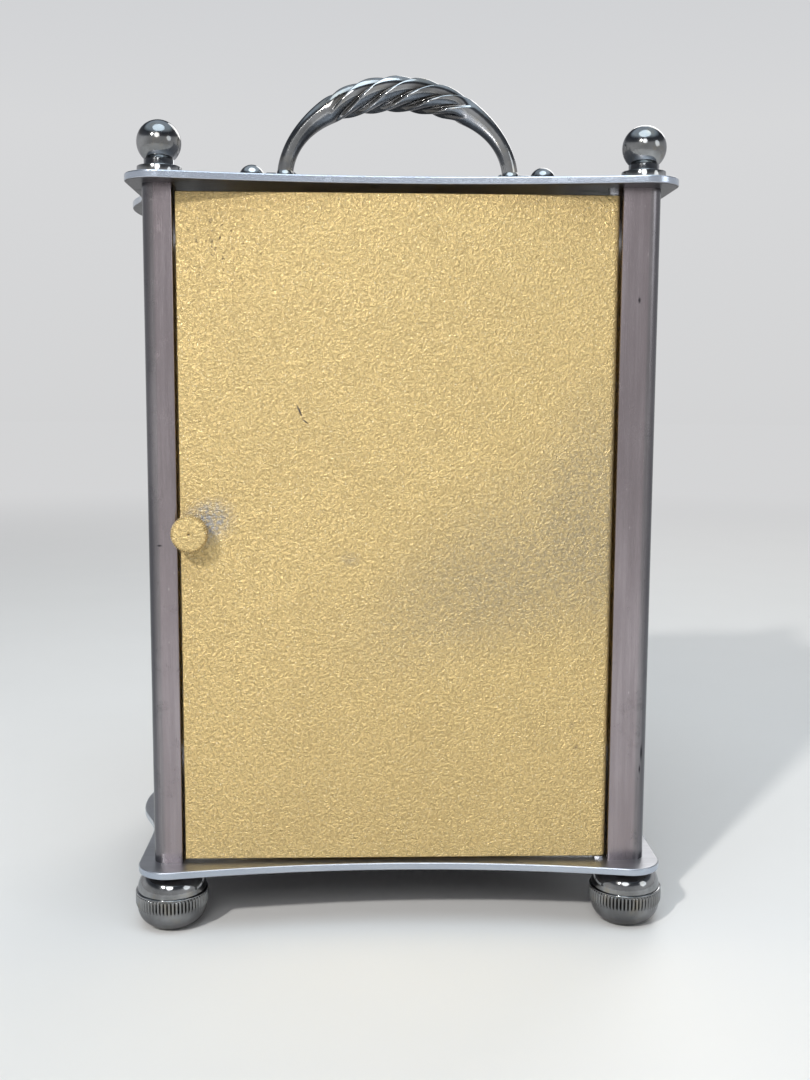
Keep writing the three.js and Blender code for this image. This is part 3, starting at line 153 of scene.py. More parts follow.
def turned(name, profile, axis="Z", place=(0, 0, 0), steps=96, shape=None, smooth=32):
    """Spins (radius, height) points into a turned piece; shape may change a radius by angle and height."""
    begin()
    bpy.ops.mesh.primitive_plane_add(size=MM, enter_editmode=True)
    bpy.ops.mesh.select_all(action="SELECT")
    bpy.ops.mesh.merge(type="CENTER")
    bpy.ops.transform.translate(value=(profile[0][0] * MM, 0, profile[0][1] * MM))
    for (r0, h0), (r1, h1) in zip(profile, profile[1:]):
        step = ((r1 - r0) * MM, 0, (h1 - h0) * MM)
        bpy.ops.mesh.extrude_vertices_move(TRANSFORM_OT_translate={"value": step})
    bpy.ops.mesh.select_all(action="SELECT")
    bpy.ops.mesh.spin(steps=steps, angle=TURN, center=(0, 0, 0), axis=(0, 0, 1))
    bpy.ops.mesh.select_all(action="SELECT")
    bpy.ops.mesh.remove_doubles(threshold=0.002 * MM)
    face_out()
    piece = bpy.context.object
    if shape:
        for vertex in piece.data.vertices:
            radius = math.hypot(vertex.co.x, vertex.co.y)
            if radius > 1e-6:
                angle = math.atan2(vertex.co.y, vertex.co.x)
                factor = shape(radius / MM, angle, vertex.co.z / MM) / (radius / MM)
                vertex.co.x *= factor
                vertex.co.y *= factor
    piece.rotation_euler = {"X": (0, TURN / 4, 0), "Y": (-TURN / 4, 0, 0), "Z": (0, 0, 0)}[axis]
    piece.location = Vector(place) * MM
    return finished(piece, name, smooth)


def bevelled(piece, width, segments=3, angle=35):
    """Rounds the sharp edges of the active piece and keeps its flats flat."""
    edge = piece.modifiers.new("edge", "BEVEL")
    edge.width = width * MM
    edge.segments = segments
    edge.limit_method = "ANGLE"
    edge.angle_limit = math.radians(angle)
    edge.harden_normals = True
    bpy.ops.object.modifier_apply(modifier=edge.name)
    return piece


def raised(name, outline, low, high, facing="Z", edge=0.0, segments=3, smooth=32, place=(0, 0, 0)):
    """Raises an outline from one level to another, along Z or, standing upright, along Y."""
    begin()
    bpy.ops.mesh.primitive_circle_add(vertices=len(outline), radius=MM, fill_type="NGON")
    piece = bpy.context.object
    first = -high if facing == "Y" else low
    for vertex, (x, y) in zip(piece.data.vertices, outline):
        vertex.co = (x * MM, y * MM, first * MM)
    bpy.ops.object.mode_set(mode="EDIT")
    bpy.ops.mesh.select_all(action="SELECT")
    rise = {"value": (0, 0, (high - low) * MM)}
    bpy.ops.mesh.extrude_region_move(TRANSFORM_OT_translate=rise)
    face_out()
    if facing == "Y":
        piece.rotation_euler = (TURN / 4, 0, 0)
    piece.location = Vector(place) * MM
    finished(piece, name, smooth)
    if edge:
        bevelled(piece, edge, segments)
    return piece


def copy_of(piece, name, move=(0, 0, 0)):
    """A copy with its own mesh, moved in millimetres."""
    begin()
    twin = piece.copy()
    twin.data = piece.data.copy()
    bpy.context.scene.collection.objects.link(twin)
    twin.data.transform(Matrix.Translation(Vector(move) * MM))
    twin.name = name
    twin.data.name = name
    return twin


def at_corners(first, kind, level):
    """Copies a plated piece to the four corners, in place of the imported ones."""
    for corner, (x, y) in CORNERS.items():
        twin = copy_of(first, f"{kind}_{corner}_smooth", (x * PILLAR_X, y * PILLAR_Y, level))
        dressed(twin, "plated_metal", "root", "plated", f"{kind}_{corner}")
    bpy.data.objects.remove(first)


def arc(cx, cy, radius, start, end, steps):
    """Points along an arc, both ends included, with its angles in degrees."""
    points = []
    for i in range(steps + 1):
        angle = math.radians(start + (end - start) * i / steps)
        points.append((cx + radius * math.cos(angle), cy + radius * math.sin(angle)))
    return points


def bezier(a, b, c, d, steps):
    """Points along a Bezier curve, without its first point."""
    points = []
    for i in range(1, steps + 1):
        t = i / steps
        s = 1 - t
        weights = (s ** 3, 3 * s * s * t, 3 * s * t * t, t ** 3)
        points.append(tuple(sum(w * p[k] for w, p in zip(weights, (a, b, c, d))) for k in (0, 1)))
    return points


def quarter(from_r, from_h, to_r, to_h, steps, bulge_out):
    """Points along a quarter of an ellipse in a turned profile, without its first point."""
    points = []
    for i in range(1, steps + 1):
        angle = i / steps * TURN / 4
        near, far = 1 - math.cos(angle), math.sin(angle)
        u, v = (near, far) if bulge_out else (far, near)
        points.append((from_r + (to_r - from_r) * u, from_h + (to_h - from_h) * v))
    return points


def ball(centre, radius, from_radius, steps):
    """Points round a ball in a turned profile, from a circle near its foot up to its top."""
    start = -math.acos(from_radius / radius)
    points = []
    for i in range(steps + 1):
        angle = start + (TURN / 4 - start) * i / steps
        r = 0 if i == steps else radius * math.cos(angle)
        points.append((r, centre + radius * math.sin(angle)))
    return points


def smoothstep(value, low, high):
    share = min(max((value - low) / (high - low), 0), 1)
    return share * share * (3 - 2 * share)


def grime_and_shade_on(piece, shares):
    """Keeps a share of grime and of painted shade for each point of a piece."""
    attribute = piece.data.attributes.new("grime_and_shade", "FLOAT", "POINT")
    attribute.data.foreach_set("value", shares)


def meshed(name, points, faces):
    """A piece from points in millimetres and faces."""
    mesh = bpy.data.meshes.new(name)
    mesh.from_pydata([Vector(point) * MM for point in points], [], faces)
    piece = bpy.data.objects.new(name, mesh)
    bpy.context.scene.collection.objects.link(piece)
    activate(piece)
    face_out()
    return piece


def grid_piece(name, rings, smooth):
    """A closed tube through rings of points, in millimetres, with capped ends."""
    sides = len(rings[0])
    faces = []
    for i in range(len(rings) - 1):
        for j in range(sides):
            a, b = i * sides + j, i * sides + (j + 1) % sides
            faces.append((a, b, b + sides, a + sides))
    last = (len(rings) - 1) * sides
    faces.append(tuple(reversed(range(sides))))
    faces.append(tuple(range(last, last + sides)))
    piece = meshed(name, [point for ring in rings for point in ring], faces)
    bpy.ops.object.shade_smooth_by_angle(angle=math.radians(smooth))
    return piece


def bars_piece(name, bars, low, high):
    """Thin upright bars that face -Y. A bar is four (x, z) corners and its own extra height."""
    points, faces = [], []
    for corners, extra in bars:
        start = len(points)
        for y in (high, low - extra):
            points += [(x, y, z) for x, z in corners]
        faces.append(tuple(start + k for k in (0, 1, 2, 3)))
        faces.append(tuple(start + k for k in (7, 6, 5, 4)))
        for k in range(4):
            n = (k + 1) % 4
            faces.append((start + k, start + k + 4, start + n + 4, start + n))
    return meshed(name, points, faces)


# ---------------------------------------------------------------- finishes
# depth of the lacquer's relief, as a share of the size of its wrinkles
RELIEF = 0.72 / 0.55


class Nodes:
    """Makes and links the nodes of one tree."""

    def __init__(self, tree):
        self.tree = tree

    def node(self, kind, inputs=None, **settings):
        node = self.tree.nodes.new(kind)
        for key, value in settings.items():
            setattr(node, key, value)
        for key, value in (inputs or {}).items():
            self.feed(node.inputs[key], value)
        return node

    def feed(self, socket, value):
        if isinstance(value, bpy.types.NodeSocket):
            self.tree.links.new(value, socket)
        else:
            socket.default_value = value

    def math(self, operation, a, b=0.0):
        return self.node("ShaderNodeMath", {0: a, 1: b}, operation=operation).outputs[0]

    def times(self, a, b):
        return self.math("MULTIPLY", a, b)

    def plus(self, a, b):
        return self.math("ADD", a, b)

    def minus(self, a, b):
        return self.math("SUBTRACT", a, b)

    def seen(self):
        """One where the camera looks, straight, by a reflection or through glass."""
        rays = self.node("ShaderNodeLightPath").outputs
        seen = self.math("MAXIMUM", rays["Is Camera Ray"], rays["Is Glossy Ray"])
        return self.math("MAXIMUM", seen, rays["Is Transmission Ray"])


class Finish(Nodes):
    """Nodes of one finish, laid out on the clock's own millimetres."""

    def __init__(self, name, metallic, roughness):
        self.material = bpy.data.materials.new(name)
        self.material.use_nodes = True
        super().__init__(self.material.node_tree)
        self.shader = self.tree.nodes["Principled BSDF"]
        self.shader.inputs["Metallic"].default_value = metallic
        self.shader.inputs["Roughness"].default_value = roughness
        self.place = self.node("ShaderNodeTexCoord").outputs["Object"]

    def grid(self, scale=(1, 1, 1), turn=(0, 0, 0)):
        """The clock's coordinates in millimetres, stretched along its axes."""
        wanted = {"Vector": self.place, "Scale": [s / MM for s in scale], "Rotation": turn}
        return self.node("ShaderNodeMapping", wanted).outputs["Vector"]

    def noise(self, vector, scale, detail=3.0, roughness=0.55, distortion=0.0):
        wanted = {"Vector": vector, "Scale": scale, "Detail": detail, "Roughness": roughness,
                  "Distortion": distortion}
        return self.node("ShaderNodeTexNoise", wanted).outputs["Fac"]

    def grained(self, axis, across, along):
        """Millimetres with one scale along the grain's axis and another across it."""
        return self.grid([along if letter == axis else across for letter in "XYZ"])

    def clouds(self, vector, scale, low, high, detail=3.0, roughness=0.55):
        return self.span(self.noise(vector, scale, detail, roughness), low, high)

    def specks(self, vector, scale, size):
        """Round specks, each up to a size that is given as a share of its cell."""
        away = self.node("ShaderNodeTexVoronoi", {"Vector": vector, "Scale": scale}).outputs["Distance"]
        return self.span(away, 0.0, size, 1.0, 0.0)

    def span(self, value, low, high, to_low=0.0, to_high=1.0):
        wanted = {"Value": value, "From Min": low, "From Max": high, "To Min": to_low, "To Max": to_high}
        return self.node("ShaderNodeMapRange", wanted, interpolation_type="SMOOTHSTEP").outputs["Result"]

    def length(self, vector):
        return self.node("ShaderNodeVectorMath", {0: vector}, operation="LENGTH").outputs["Value"]

    def split(self, vector, axis):
        return self.node("ShaderNodeSeparateXYZ", {0: vector}).outputs[axis]

    def blend(self, share, a, b):
        return self.node("ShaderNodeMix", {0: share, 6: a, 7: b}, data_type="RGBA").outputs[2]

    def tint(self, tone, mask, share, colour):
        """Mixes a share of a colour into a tone where a mask is one."""
        return self.blend(self.times(mask, share), tone, colour)

    def tinted(self, tone, *layers):
        for layer in layers:
            tone = self.tint(tone, *layer)
        return tone

    def near(self, point, reach, ragged=0.0):
        """A soft mask round a place on the clock, in millimetres."""
        away = self.node("ShaderNodeVectorMath", {0: self.grid(), 1: point}, operation="DISTANCE")
        away = away.outputs["Value"]
        if ragged:
            away = self.plus(away, self.times(self.noise(self.grid(), 1.2 / reach), ragged * reach))
        return self.span(away, 0.0, reach, 1.0, 0.0)

    def mark(self, place, reach, turn=0.0):
        """A soft oval mask of given half lengths, turned about Y, in millimetres."""
        wanted = {"Vector": self.place, "Location": [p * MM for p in place], "Rotation": (0, turn, 0),
                  "Scale": [r * MM for r in reach]}
        inside = self.node("ShaderNodeMapping", wanted, vector_type="TEXTURE").outputs["Vector"]
        return self.span(self.length(inside), 0.15, 1.0, 1.0, 0.0)

    def bump(self, height, distance, strength=1.0, under=None):
        wanted = {"Height": height, "Distance": distance * MM, "Strength": strength}
        if under:
            wanted["Normal"] = under
        return self.node("ShaderNodeBump", wanted).outputs["Normal"]

    def attribute(self, name):
        return self.node("ShaderNodeAttribute", attribute_name=name).outputs["Fac"]

    def set(self, **sockets):
        names = {"colour": "Base Color", "rough": "Roughness", "metal": "Metallic", "normal": "Normal"}
        for key, value in sockets.items():
            self.feed(self.shader.inputs[names[key]], value)


def rgb(colour, factor=1.0):
    return (*(min(channel * factor, 1) for channel in colour), 1)


def plated_finish(colour):
    """Polished pale plating over brass, with tarnish clouds, fine scratches, grime in the valleys, painted
    shade under the handle and towards the floor, and rims dimmed as a painted dark reflection.
    """
    finish = Finish("plated_metal", 1.0, 0.12)
    # painted dark reflection: a grey specular tint dims the bright rims, as if the surroundings were dark
    finish.shader.inputs["Specular Tint"].default_value = (0.72, 0.72, 0.74, 1)
    grid = finish.grid()
    cloud = finish.clouds(grid, 0.09, 0.35, 0.68, 4.0)
    warm = finish.clouds(grid, 0.23, 0.5, 0.72, 5.0, 0.6)
    speck = finish.times(finish.specks(grid, 0.9, 0.13), finish.clouds(grid, 0.15, 0.5, 0.6))
    scratch = finish.noise(finish.grid((0.5, 9, 0.5), (0.4, 0.2, 0.7)), 1.0, 2.0)
    tone = finish.tinted(
        finish.blend(cloud, rgb(colour, 0.62), rgb(colour, 1.25)),
        (warm, 0.28, (0.38, 0.31, 0.19, 1)),
        (speck, 0.7, (0.1, 0.085, 0.07, 1)),
        # grime in the hollows, and painted shade under the handle
        (finish.attribute("grime_and_shade"), 0.85, (0.05, 0.045, 0.04, 1)),
        # painted shade: darker in the lowest 8 mm, towards the floor
        (finish.span(finish.split(grid, "Z"), 8.0, 1.5), 0.62, (0.05, 0.045, 0.045, 1)))
    rough = finish.plus(finish.span(cloud, 0.0, 1.0, 0.12, 0.06), finish.times(speck, 0.3))
    rough = finish.plus(rough, finish.span(scratch, 0.6, 0.75, 0.0, 0.14))
    normal = finish.bump(finish.noise(grid, 0.55, 2.0), 0.05, 0.5)
    finish.set(colour=tone, rough=rough, normal=finish.bump(scratch, 0.006, 0.6, normal))


def satin_finish(name, colour, grain, polish):
    """Satin plating with its grain along one axis, darker blotches, specks and scratches, and painted
    reflections: on the pillars a pinkish inner flat and a dark outer rounding, on the plates a pale blue
    edge, with painted shade underneath.
    """
    finish = Finish(name, 1.0, 0.3)
    upright = grain == "Z"
    depth = 0.55 if upright else 0.22
    grid = finish.grid()
    lines = finish.noise(finish.grained(grain, 14.0, 0.12), 1.0, 4.0, 0.65)
    cloud = finish.clouds(finish.grained(grain, 0.09, 0.02), 1.0, 0.35, 0.66, 4.0)
    patch = finish.clouds(grid, 0.12, 0.55, 0.72, 6.0, 0.62)
    streak = finish.clouds(finish.grained(grain, 0.75, 0.02), 1.0, 0.36, 0.64, 3.0, 0.6)
    speck = finish.times(finish.specks(grid, 0.55, 0.12), finish.clouds(grid, 0.07, 0.52, 0.6))
    bright = finish.specks(finish.grid((0.8, 0.8, 0.3), (0.1, 0.1, 0.3)), 0.5, 0.07)
    tone = finish.tinted(
        finish.blend(cloud, rgb(colour, 1 - 0.44 * depth), rgb(colour, 1 + 0.36 * depth)),
        (streak, depth, rgb(colour, 0.62)),
        (patch, 0.9 * depth, rgb(colour, 0.5)),
        (finish.span(lines, 0.35, 0.75), 0.35, rgb(colour, 0.62)),
        (speck, 0.85, (0.06, 0.05, 0.05, 1)),
        (bright, 0.7, (0.85, 0.83, 0.8, 1)))
    rough = finish.span(finish.plus(lines, finish.times(patch, 0.3)), 0.3, 0.95, *polish)
    if upright:
        # painted reflections on the pillars: pinkish on the inner flat, dark blue-grey on the outer rounding
        across = finish.math("ABSOLUTE", finish.split(grid, "X"))
        flat = finish.span(across, PILLAR_X + 1.5, PILLAR_X + 0.7)
        round_side_dark_reflection = finish.span(across, PILLAR_X + 1.2, PILLAR_X + 4.0)
        scars = [(finish.mark(*scar), 1.0, (0.03, 0.03, 0.035, 1)) for scar in SCARS]
        tone = finish.tinted(tone, (flat, 0.35, (0.42, 0.34, 0.36, 1)),
                             (round_side_dark_reflection, 0.75, (0.055, 0.06, 0.075, 1)), *scars)
    else:
        upward = finish.split(finish.node("ShaderNodeNewGeometry").outputs["Normal"], "Z")
        # painted shade: faces that look downwards are darkened
        below = finish.span(upward, -0.5, -0.9)
        # painted reflection: a pale blue sky tint on the rounded edges
        edge = finish.span(finish.math("ABSOLUTE", upward), 0.75, 0.2)
        tone = finish.tinted(tone, (below, 0.85, (0.035, 0.03, 0.035, 1)), (edge, 0.6, (0.5, 0.58, 0.7, 1)))
        rough = finish.minus(rough, finish.times(edge, 0.2))
    normal = finish.bump(lines, 0.02, 0.55)
    finish.set(colour=tone, rough=rough, normal=finish.bump(finish.minus(1.0, speck), 0.03, 0.5, normal))


def door_wear(finish, tone):
    """The door's hazes, the rub beside its knob, two scratches, dark spots and dust."""
    grid, face = finish.grid(), DOOR_HIGH.y
    speckle = finish.plus(finish.times(finish.clouds(grid, 1.3, 0.42, 0.6, 3.0, 0.6), 0.65), 0.35)
    hazes = ((-34, 104, 50, 30, 0.55, 0.34), (-52, 112, 22, 46, 0.1, 0.46), (-14, 88, 44, 24, 0.45, 0.3),
             (-40, 92, 30, 24, 0.3, 0.24), (13.5, 99.5, 4, 3, 0.0, 0.5))
    for x, z, wide, high, turn, share in hazes:
        mask = finish.times(finish.mark((x, face, z), (wide, 2, high), turn), speckle)
        tone = finish.tint(tone, mask, share, (0.27, 0.235, 0.17, 1))
    rub = finish.times(finish.mark((50.2, face, 109.0), (9.6, 2, 7.4), 0.5), speckle)
    tone = finish.tint(tone, rub, 1.1, (0.33, 0.32, 0.31, 1))
    for x, z, wide, high, turn in ((26.3, 137.6, 0.4, 2.6, 0.42), (24.8, 134.9, 0.3, 1.5, 0.9)):
        tone = finish.blend(finish.mark((x, face, z), (wide, 3, high), turn), tone, (0.04, 0.035, 0.045, 1))
    spots = ((-45.5, 55, 2.6), (-46.5, 49, 1.8), (48, 180, 1.7), (45, 177, 1.4), (14.5, 99, 1.1),
             (52, 183.5, 1.5), (-36, 71, 1.2), (-49, 62, 1.3))
    for x, z, reach in spots:
        tone = finish.tint(tone, finish.near((x, face, z), reach, 1.0), 0.9, (0.05, 0.04, 0.04, 1))
    dust = finish.times(finish.clouds(grid, 0.9, 0.62, 0.68), finish.near((47, face, 178), 18))
    return finish.tint(tone, dust, 0.8, (0.07, 0.055, 0.045, 1))


def knob_wear(finish, tone, crest):
    """The knob's worn rim and the dimple in its middle."""
    middle = (KNOB_X, KNOB_HIGH.y, KNOB_Z)
    rim = finish.minus(1.0, finish.mark(middle, (5.6, 40, 5.6)))
    worn = finish.times(finish.span(rim, 0.82, 0.97), finish.span(crest, 0.0, 1.0, 0.35, 0.8))
    tone = finish.blend(worn, tone, (0.8, 0.7, 0.46, 1))
    return finish.blend(finish.mark(middle, (0.55, 2, 0.4)), tone, (0.05, 0.035, 0.02, 1))


def lacquer_finish(name, colour, wrinkle, on_door):
    """Gold crinkle lacquer, with painted light and shade on its wrinkles and the marks of long use on door
    and knob.
    """
    finish = Finish(name, 0.65, 0.4)
    grid = finish.grid()
    wrinkles = finish.noise(grid, 0.7 / wrinkle, 2.0, 0.5, 0.6)
    fine = finish.noise(grid, 2.1 / wrinkle, 1.0, 0.5)
    height = finish.plus(finish.times(wrinkles, 0.7), finish.times(fine, 0.3))
    crest = finish.span(height, 0.4, 0.6)
    tone = finish.tinted(
        # painted light and shade on the relief: wrinkle crests lighter, troughs darker
        finish.blend(crest, rgb(colour, 0.84), rgb(colour, 1.14)),
        (finish.clouds(grid, 0.03, 0.3, 0.7, 4.0), 0.3, rgb(colour, 0.78)),
        (finish.clouds(grid, 2.3, 0.63, 0.7, 2.0), 0.6, (0.97, 0.88, 0.64, 1)),
        (finish.clouds(grid, 1.7, 0.31, 0.26), 0.6, rgb(colour, 0.3)))
    tone = door_wear(finish, tone) if on_door else knob_wear(finish, tone, crest)
    finish.set(colour=tone, rough=finish.span(crest, 0.0, 1.0, 0.5, 0.3),
               normal=finish.bump(height, RELIEF * wrinkle))


def brass_finish(name, colour, grain, polish):
    """Brass with a fine grain along one axis, or turned marks, and a little tarnish."""
    finish = Finish(name, 1.0, polish)
    lines = finish.noise(finish.grained(grain, 12.0, 0.25), 1.0, 3.0, 0.6)
    tarnish = finish.clouds(finish.grid(), 0.16, 0.5, 0.78, 6.0, 0.68)
    tone = finish.blend(finish.span(lines, 0.35, 0.7), rgb(colour, 0.9), rgb(colour, 1.06))
    tone = finish.tint(tone, tarnish, 0.3, (0.42, 0.28, 0.11, 1))
    rough = finish.plus(lines, finish.times(tarnish, 0.4))
    finish.set(colour=tone, rough=finish.span(rough, 0.3, 1.0, polish * 0.8, polish * 1.5),
               normal=finish.bump(lines, 0.012, 0.5))


def steel_finish(name, colour, polish, tint=(0.2, 0.17, 0.15)):
    """Steel with fine turning marks and a few darker clouds."""
    finish = Finish(name, 1.0, polish)
    lines = finish.noise(finish.grid((8, 8, 8)), 1.0, 3.0, 0.6)
    cloud = finish.clouds(finish.grid(), 0.3, 0.45, 0.7, 4.0)
    rough = finish.plus(lines, finish.times(cloud, 0.4))
    finish.set(colour=finish.tint(rgb(colour), cloud, 0.4, (*tint, 1)),
               rough=finish.span(rough, 0.3, 1.0, polish * 0.8, polish * 1.4),
               normal=finish.bump(lines, 0.01, 0.5))


def glass_finish():
    """Clear glass with a faint green tint, a few smears and dust."""
    finish = Finish("clear_glass", 0.0, 0.02)
    smear = finish.noise(finish.grid((0.05, 0.05, 0.02), (0.3, 0.2, 0.5)), 1.0, 4.0, 0.6)
    dust = finish.clouds(finish.grid(), 2.2, 0.66, 0.78, 2.0)
    rough = finish.plus(finish.span(smear, 0.45, 0.75, 0.004, 0.06), finish.times(dust, 0.12))
    tone = finish.blend(smear, (0.93, 0.975, 0.96, 1), (0.985, 0.995, 0.99, 1))
    finish.set(rough=rough, colour=tone)
    finish.shader.inputs["Transmission Weight"].default_value = 1.0
    finish.shader.inputs["IOR"].default_value = 1.45


def enamel_finish(colour):
    """Fired cream enamel with a faint orange peel and mellowed clouds."""
    finish = Finish("dial_enamel", 0.0, 0.24)
    cloud = finish.noise(finish.grid(), 0.05, 4.0)
    speck = finish.specks(finish.grid(), 0.35, 0.05)
    tone = finish.blend(cloud, rgb(colour, 0.93), rgb(colour, 1.03))
    tone = finish.tint(tone, speck, 0.35, (0.3, 0.24, 0.16, 1))
    peel = finish.noise(finish.grid(), 0.6, 2.0)
    finish.set(colour=tone, rough=finish.span(peel, 0.3, 0.7, 0.2, 0.34),
               normal=finish.bump(peel, 0.01, 0.4))
    finish.shader.inputs["Coat Weight"].default_value = 0.3


def ink_finish(colour):
    """Black printed ink, slightly uneven."""
    finish = Finish("dial_ink", 0.0, 0.4)
    patch = finish.noise(finish.grid(), 1.4, 3.0)
    tone = finish.blend(patch, rgb(colour, 0.6), rgb(colour, 1.6))
    finish.set(colour=tone, rough=finish.span(patch, 0.3, 0.7, 0.32, 0.5))


def ruby_finish():
    """Pink synthetic ruby of a pivot jewel."""
    finish = Finish("jewel_ruby", 0.0, 0.08)
    depth = finish.noise(finish.grid(), 1.1, 2.0)
    finish.set(colour=finish.blend(depth, (0.42, 0.01, 0.05, 1), (0.75, 0.04, 0.14, 1)),
               rough=finish.span(depth, 0.3, 0.7, 0.05, 0.14))
    finish.shader.inputs["Coat Weight"].default_value = 0.6


# ---------------------------------------------------------------- sizes and colours that a user may change
def count_property(name, description, default, low, high):
    return IntProperty(name=name, description=description, default=default, min=low, max=high)


def length_property(name, description, default, low, high):
    return FloatProperty(name=name, description=description, default=default * MM, min=low * MM,
                         max=high * MM, unit="LENGTH")


def colour_property(name, description, default):
    return FloatVectorProperty(name=name, description=description, default=default, size=3, min=0, max=1,
                               subtype="COLOR")


class ClockSizes(bpy.types.PropertyGroup):
    flutes: count_property("Foot flutes", "Flutes round each foot", 60, 12, 90)
    knob_teeth: count_property("Knob teeth", "Teeth round the door knob", 48, 16, 90)
    strands: count_property("Strands", "Strands that wind round the grip", 6, 2, 9)
    lay: length_property("Lay", "Length of one full turn of a strand", 44, 10, 200)
    plate_edge: length_property("Plate edge", "Radius of the plates' rounded edges", 0.4, 0, 1)
    wrinkle: length_property("Wrinkle", "Size of the lacquer's wrinkles", 0.55, 0.1, 5)
    numeral: length_property("Numerals", "Height of the dial's numerals", 8.4, 2, 12)


class ClockColours(bpy.types.PropertyGroup):
    plated: colour_property("Plating", "Polished plating of handle, balls and feet", (0.31, 0.315, 0.32))
    satin: colour_property("Satin", "Satin plating of pillars and plates", (0.3, 0.278, 0.288))
    lacquer: colour_property("Lacquer", "Crinkle lacquer of the door", (0.6, 0.44, 0.195))
    brass: colour_property("Brass", "Brass of the movement", (0.78, 0.58, 0.25))
    steel: colour_property("Steel", "Steel of arbors and screws", (0.52, 0.53, 0.55))
    blued: colour_property("Blued steel", "Blue of the hands", (0.035, 0.06, 0.22))
    enamel: colour_property("Enamel", "Ground of the dial", (0.86, 0.82, 0.72))
    ink: colour_property("Ink", "Numerals and minute track", (0.012, 0.011, 0.012))
    floor: colour_property("Floor", "Pale floor under the clock", (0.8, 0.79, 0.78))


def sizes():
    return bpy.context.scene.bracket_clock_sizes


def colours():
    return bpy.context.scene.bracket_clock_colours


# ---------------------------------------------------------------- operators
class CLOCK_OT_finishes(bpy.types.Operator):
    """Make every finish of the clock"""
    bl_idname = "clock.finishes"
    bl_label = "Finishes"

    def execute(self, context):
        tones = colours()
        wrinkle = sizes().wrinkle / MM
        plated_finish(tones.plated)
        satin_finish("satin_upright", tones.satin, "Z", (0.16, 0.36))
        # painted reflection: the plates' satin is paler and bluer than the pillars', as if lit by the sky
        sky_tinted_satin = [tone * share for tone, share in zip(tones.satin, (1.4, 1.52, 1.56))]
        satin_finish("satin_lengthwise", sky_tinted_satin, "X", (0.34, 0.55))
        lacquer_finish("crinkle_lacquer", tones.lacquer, wrinkle, True)
        lacquer_finish("crinkle_lacquer_knob", tones.lacquer, wrinkle, False)
        brass_finish("brass_grained", tones.brass, "X", 0.3)
        brass_finish("brass_polished", tones.brass, "", 0.2)
        brass_finish("dial_brass_grained", tones.brass, "Z", 0.34)
        steel_finish("bright_steel", tones.steel, 0.24)
        steel_finish("blued_steel", tones.blued, 0.22, (0.05, 0.03, 0.12))
        glass_finish()
        enamel_finish(tones.enamel)
        ink_finish(tones.ink)
        ruby_finish()
        return {"FINISHED"}


def plate_outline():
    """Rounded corner lobes, hollowed front and back edges and a swelling ear at each side."""
    lobe = 8.25
    lobe_y = LOBE_Y - 0.03 - lobe
    side = PILLAR_X + lobe
    ear = EAR_X - INSIDE
    ear_half = 31
    hollow = lobe - 5.8
    arc_radius = (PILLAR_X ** 2 + hollow ** 2 - lobe ** 2) / (2 * (lobe - hollow))
    arc_y = lobe_y + hollow + arc_radius
    touch = math.degrees(math.atan2(arc_y - lobe_y, -PILLAR_X))
    quadrant = [(ear, 0)]
    quadrant += bezier((ear, 0), (ear, ear_half / 2), (side, ear_half / 2), (side, ear_half), 18)
    quadrant += arc(PILLAR_X, lobe_y, lobe, 0, touch, 26)
    quadrant += arc(0, arc_y, arc_radius, touch - 180, -90, 16)[1:]
    upper = quadrant + [(-x, y) for x, y in reversed(quadrant[:-1])]
    return upper + [(x, -y) for x, y in reversed(upper[1:-1])]


class CLOCK_OT_plates(bpy.types.Operator):
    """Base plate and top plate with rounded bright edges"""
    bl_idname = "clock.plates"
    bl_label = "Plates"

    def execute(self, context):
        outline = plate_outline()
        edge = sizes().plate_edge / MM
        for node, low, high in (("base_plate", BASE_LOW, BASE_HIGH), ("top_plate", TOP_LOW, TOP_HIGH)):
            plate = raised(f"{node}_smooth", outline, low, high, edge=edge, segments=4, smooth=25)
            dressed(plate, "satin_lengthwise", "root", "satin", node)
        return {"FINISHED"}


def pillar_outline(inner, front):
    """A pillar's section, x outwards and y to the back, with the grooves that hold the glass."""
    half, outer, rounding, ease, groove = 4.0, 4.3, 3.3, 0.5, 1.5
    slot = 0.9
    glass = SIDE_GLASS_X - PILLAR_X
    inside = [(glass + slot, -half), (glass + slot, -half + groove), (glass - slot, -half + groove),
              (glass - slot, -half)]
    points = arc(outer - rounding, -half + rounding, rounding, -90, 0, 12)
    points += arc(outer - rounding, half - rounding, rounding, 0, 90, 12)
    points += arc(-inner + ease, half - ease, ease, 90, 180, 4)
    if front:
        pane = FRONT_GLASS_Y - PILLAR_Y
        points += [(-inner, pane + slot), (-inner + groove, pane + slot), (-inner + groove, pane - slot),
                   (-inner, pane - slot)]
    points += arc(-inner + ease, -half + ease, ease, 180, 270, 4)
    return points + list(reversed(inside))


class CLOCK_OT_pillars(bpy.types.Operator):
    """Four corner pillars, rounded outside and flat inside"""
    bl_idname = "clock.pillars"
    bl_label = "Pillars"

    def execute(self, context):
        for corner, (x, y) in CORNERS.items():
            inner = HINGE_PILLAR_INNER if corner == "back_left" else PILLAR_INNER
            outline = [(x * (PILLAR_X + u), y * (PILLAR_Y + v)) for u, v in pillar_outline(inner, y < 0)]
            pillar = raised(f"pillar_{corner}_smooth", outline, BASE_HIGH, TOP_LOW, edge=0.18, segments=2)
            dressed(pillar, "satin_upright", "root", "satin", f"pillar_{corner}")
        return {"FINISHED"}


